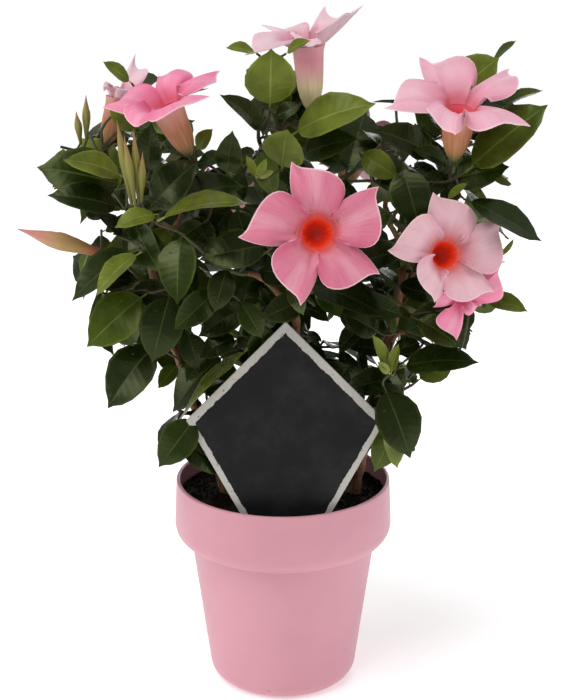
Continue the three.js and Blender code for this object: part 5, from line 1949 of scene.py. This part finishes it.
bloomGloss = {"Specular IOR Level": 0.3}
# painted light: the throats glow faintly, lifting the shade deep in their tubes
throatGlossAndGlow = {**bloomGloss, "Emission Strength": 0.2}
budStops = {
    "furled": [(0.0, (0.28, 0.055, 0.025)), (0.16, (0.44, 0.13, 0.05)), (0.36, (0.42, 0.27, 0.09)),
               (0.6, (0.48, 0.30, 0.13)), (0.78, (0.60, 0.24, 0.19)), (1.0, (0.66, 0.27, 0.29))],
    "slender": [(0.0, (0.09, 0.11, 0.022)), (0.3, (0.15, 0.18, 0.030)), (0.6, (0.20, 0.21, 0.040)),
                (0.85, (0.28, 0.19, 0.065)), (1.0, (0.22, 0.10, 0.05))],
}
bloomFinishes = [finish(f"tube_{k}", bloomGloss, paintTube(stops)) for k, stops in tubeStops.items()]
bloomFinishes += [finish(f"throat_{k}", throatGlossAndGlow, paintThroat(stops)) for k, stops in throatStops.items()]
bloomFinishes.append(finish("furled_bud", bloomGloss, paintBud(budStops["furled"])))
for name, palette in petalPalettes.items():
    for side, paler in (("front", 0.0), ("back", 0.16)):
        painted = paintPetal(palette, paler)
        bloomFinishes.append(finish(f"petal_{name}_{side}", {"Specular IOR Level": 0.25}, painted))
finishSlots = {made.name: i for i, made in enumerate(bloomFinishes)}

stalkList = []
for name, (limb, at, heads, buds) in bloomRows.items():
    shape = Shape()
    dice = Dice(len(name) * bloomLook["seedStep"])
    looks = [drawnHeads.get((name, i), {}) for i in range(len(heads))]
    poses = []
    for (mouth, face, reach, tube, opening, turn, palette), look in zip(heads, looks):
        poses.append((look.get("mouth", mouth), look.get("face", face), reach, look.get("tube", tube),
                      look.get("opening", opening), look.get("turn", turn), palette))
    bloom = Bloom((limb, at, poses, buds), limbs)
    stalkList += bloom.stalks
    for head, look in zip(bloom.heads, looks):
        tube = "tube_cream" if name == "bloom_top" else "tube_salmon"
        throat = "throat_red" if head.palette in ("rose", "pale") else "throat_pink"
        addTube(shape, head, (finishSlots[tube], finishSlots[throat]))
        faces = [finishSlots[f"petal_{head.palette}_{side}"] for side in ("front", "back")]
        addPetals(shape, head, dice, faces, look.get("sizes", ((1, 1),) * bloomLook["petals"]),
                  look.get("throat", bloomLook["throat"]), look.get("width", 1.0), look.get("point", 1.0))
    for root, tip, width in bloom.buds:
        addBud(shape, root, tip, width, finishSlots["furled_bud"])
    keep(shape.object(f"{name}_petals", bloomFinishes), [name])
keep(growLimbs("bloom_stalks", stalkList, "stalks", greenTwig), list(blooms))

# Clusters of slender buds at the upper left: root, tip, width
budClusters = [
    ((-104, -99, 408), (-112, -104, 467), 7.5), ((-101, -103, 407), (-107, -108, 457), 6.5),
    ((-99, -99, 408), (-101, -103, 461), 6.5), ((-97, -102, 410), (-95, -106, 446), 6),
    ((-139, -52, 443), (-138, -54, 476), 6.5), ((-143, -53, 441), (-145, -57, 465), 6),
]
budStalk = {"inside": 2, "thick": (0.8, 0.8), "lead": 14}
budShape = Shape()
budStalks = []
for root, tip, width in budClusters:
    root, tip = vec(root), vec(tip)
    along = unit(tip - root)
    budStalks.append(shootTo(root + along * budStalk["inside"], along, budStalk["thick"], budStalk["lead"]))
    addBud(budShape, root, tip, width, 0)
slender = finish("slender_bud", bloomGloss, paintBud(budStops["slender"]))
keep(budShape.object("bud_clusters", [slender]), ["foliage_upper_left"])
keep(growLimbs("bud_stalks", budStalks, "stalks", greenTwig), ["foliage_upper_left"])
print("blooms opened")


# Floor, light and camera

stage = {
    "floor": (0.93, 0.93, 0.93), "floorGlow": 0.36, "floorHalf": 14000.0, "world": 0.33,
    "sun": 1.25, "sunAngle": 40, "sunTurn": (14, -12, 0), "softboxSize": 0.7, "softboxAim": (0, 0, 0.3),
    "softboxes": [((-1.4, -0.35, 0.75), 6), ((1.4, -0.3, 0.75), 5.5), ((-0.45, -1.0, 1.5), 5),
                  ((0.3, 1.4, 0.8), 5)],
}


def paintFloor(graph):
    shaded = tuple(c * 0.985 for c in stage["floor"])
    cloud = graph.noise(graph.place(), 3, 2)
    return {"Base Color": graph.ramp(cloud, [(0.3, stage["floor"]), (0.7, shaded)])}


floorShape = Shape()
floorEnds = (-stage["floorHalf"], stage["floorHalf"])
floorShape.grid(np.array([[(x, y, 0) for x in floorEnds] for y in floorEnds]), gridUv(2, 2))
floorConstants = {"Roughness": 0.9, "Specular IOR Level": 0.1, "Emission Color": (1, 1, 1, 1),
                  "Emission Strength": stage["floorGlow"]}
floor = floorShape.object("floor", [finish("pale_floor", floorConstants, paintFloor)])

world = bpy.context.scene.world or bpy.data.worlds.new("Studio")
bpy.context.scene.world = world
world.use_nodes = True
world.node_tree.nodes["Background"].inputs["Color"].default_value = (1, 1, 1, 1)
world.node_tree.nodes["Background"].inputs["Strength"].default_value = stage["world"]
bpy.context.scene.view_settings.view_transform = "Standard"


def addLight(name, kind, place, turn, energy):
    light = bpy.data.lights.new(name, kind)
    light.energy = energy
    made = bpy.data.objects.new(name, light)
    made.location = place
    made.rotation_euler = turn
    bpy.context.scene.collection.objects.link(made)
    return light


sun = addLight("Sky", "SUN", (0, 0, 3), [math.radians(a) for a in stage["sunTurn"]], stage["sun"])
sun.angle = math.radians(stage["sunAngle"])
aimPoint = Vector(stage["softboxAim"])
for i, (place, power) in enumerate(stage["softboxes"]):
    turn = (aimPoint - Vector(place)).to_track_quat("-Z", "Y").to_euler()
    box = addLight(f"Softbox{i}", "AREA", place, turn, power)
    box.size = stage["softboxSize"]

sensorWidth = 36
lens = bpy.data.cameras.new("Camera")
lens.sensor_width = sensorWidth
lens.lens = sensorWidth * eyeFocal / (2 * pictureMiddle[1])
camera = bpy.data.objects.new("Camera", lens)
camera.location = eye * mm
camera.rotation_euler = (math.pi / 2 - eyeDown, 0, 0)
bpy.context.scene.collection.objects.link(camera)
bpy.context.scene.camera = camera
print("stage set")
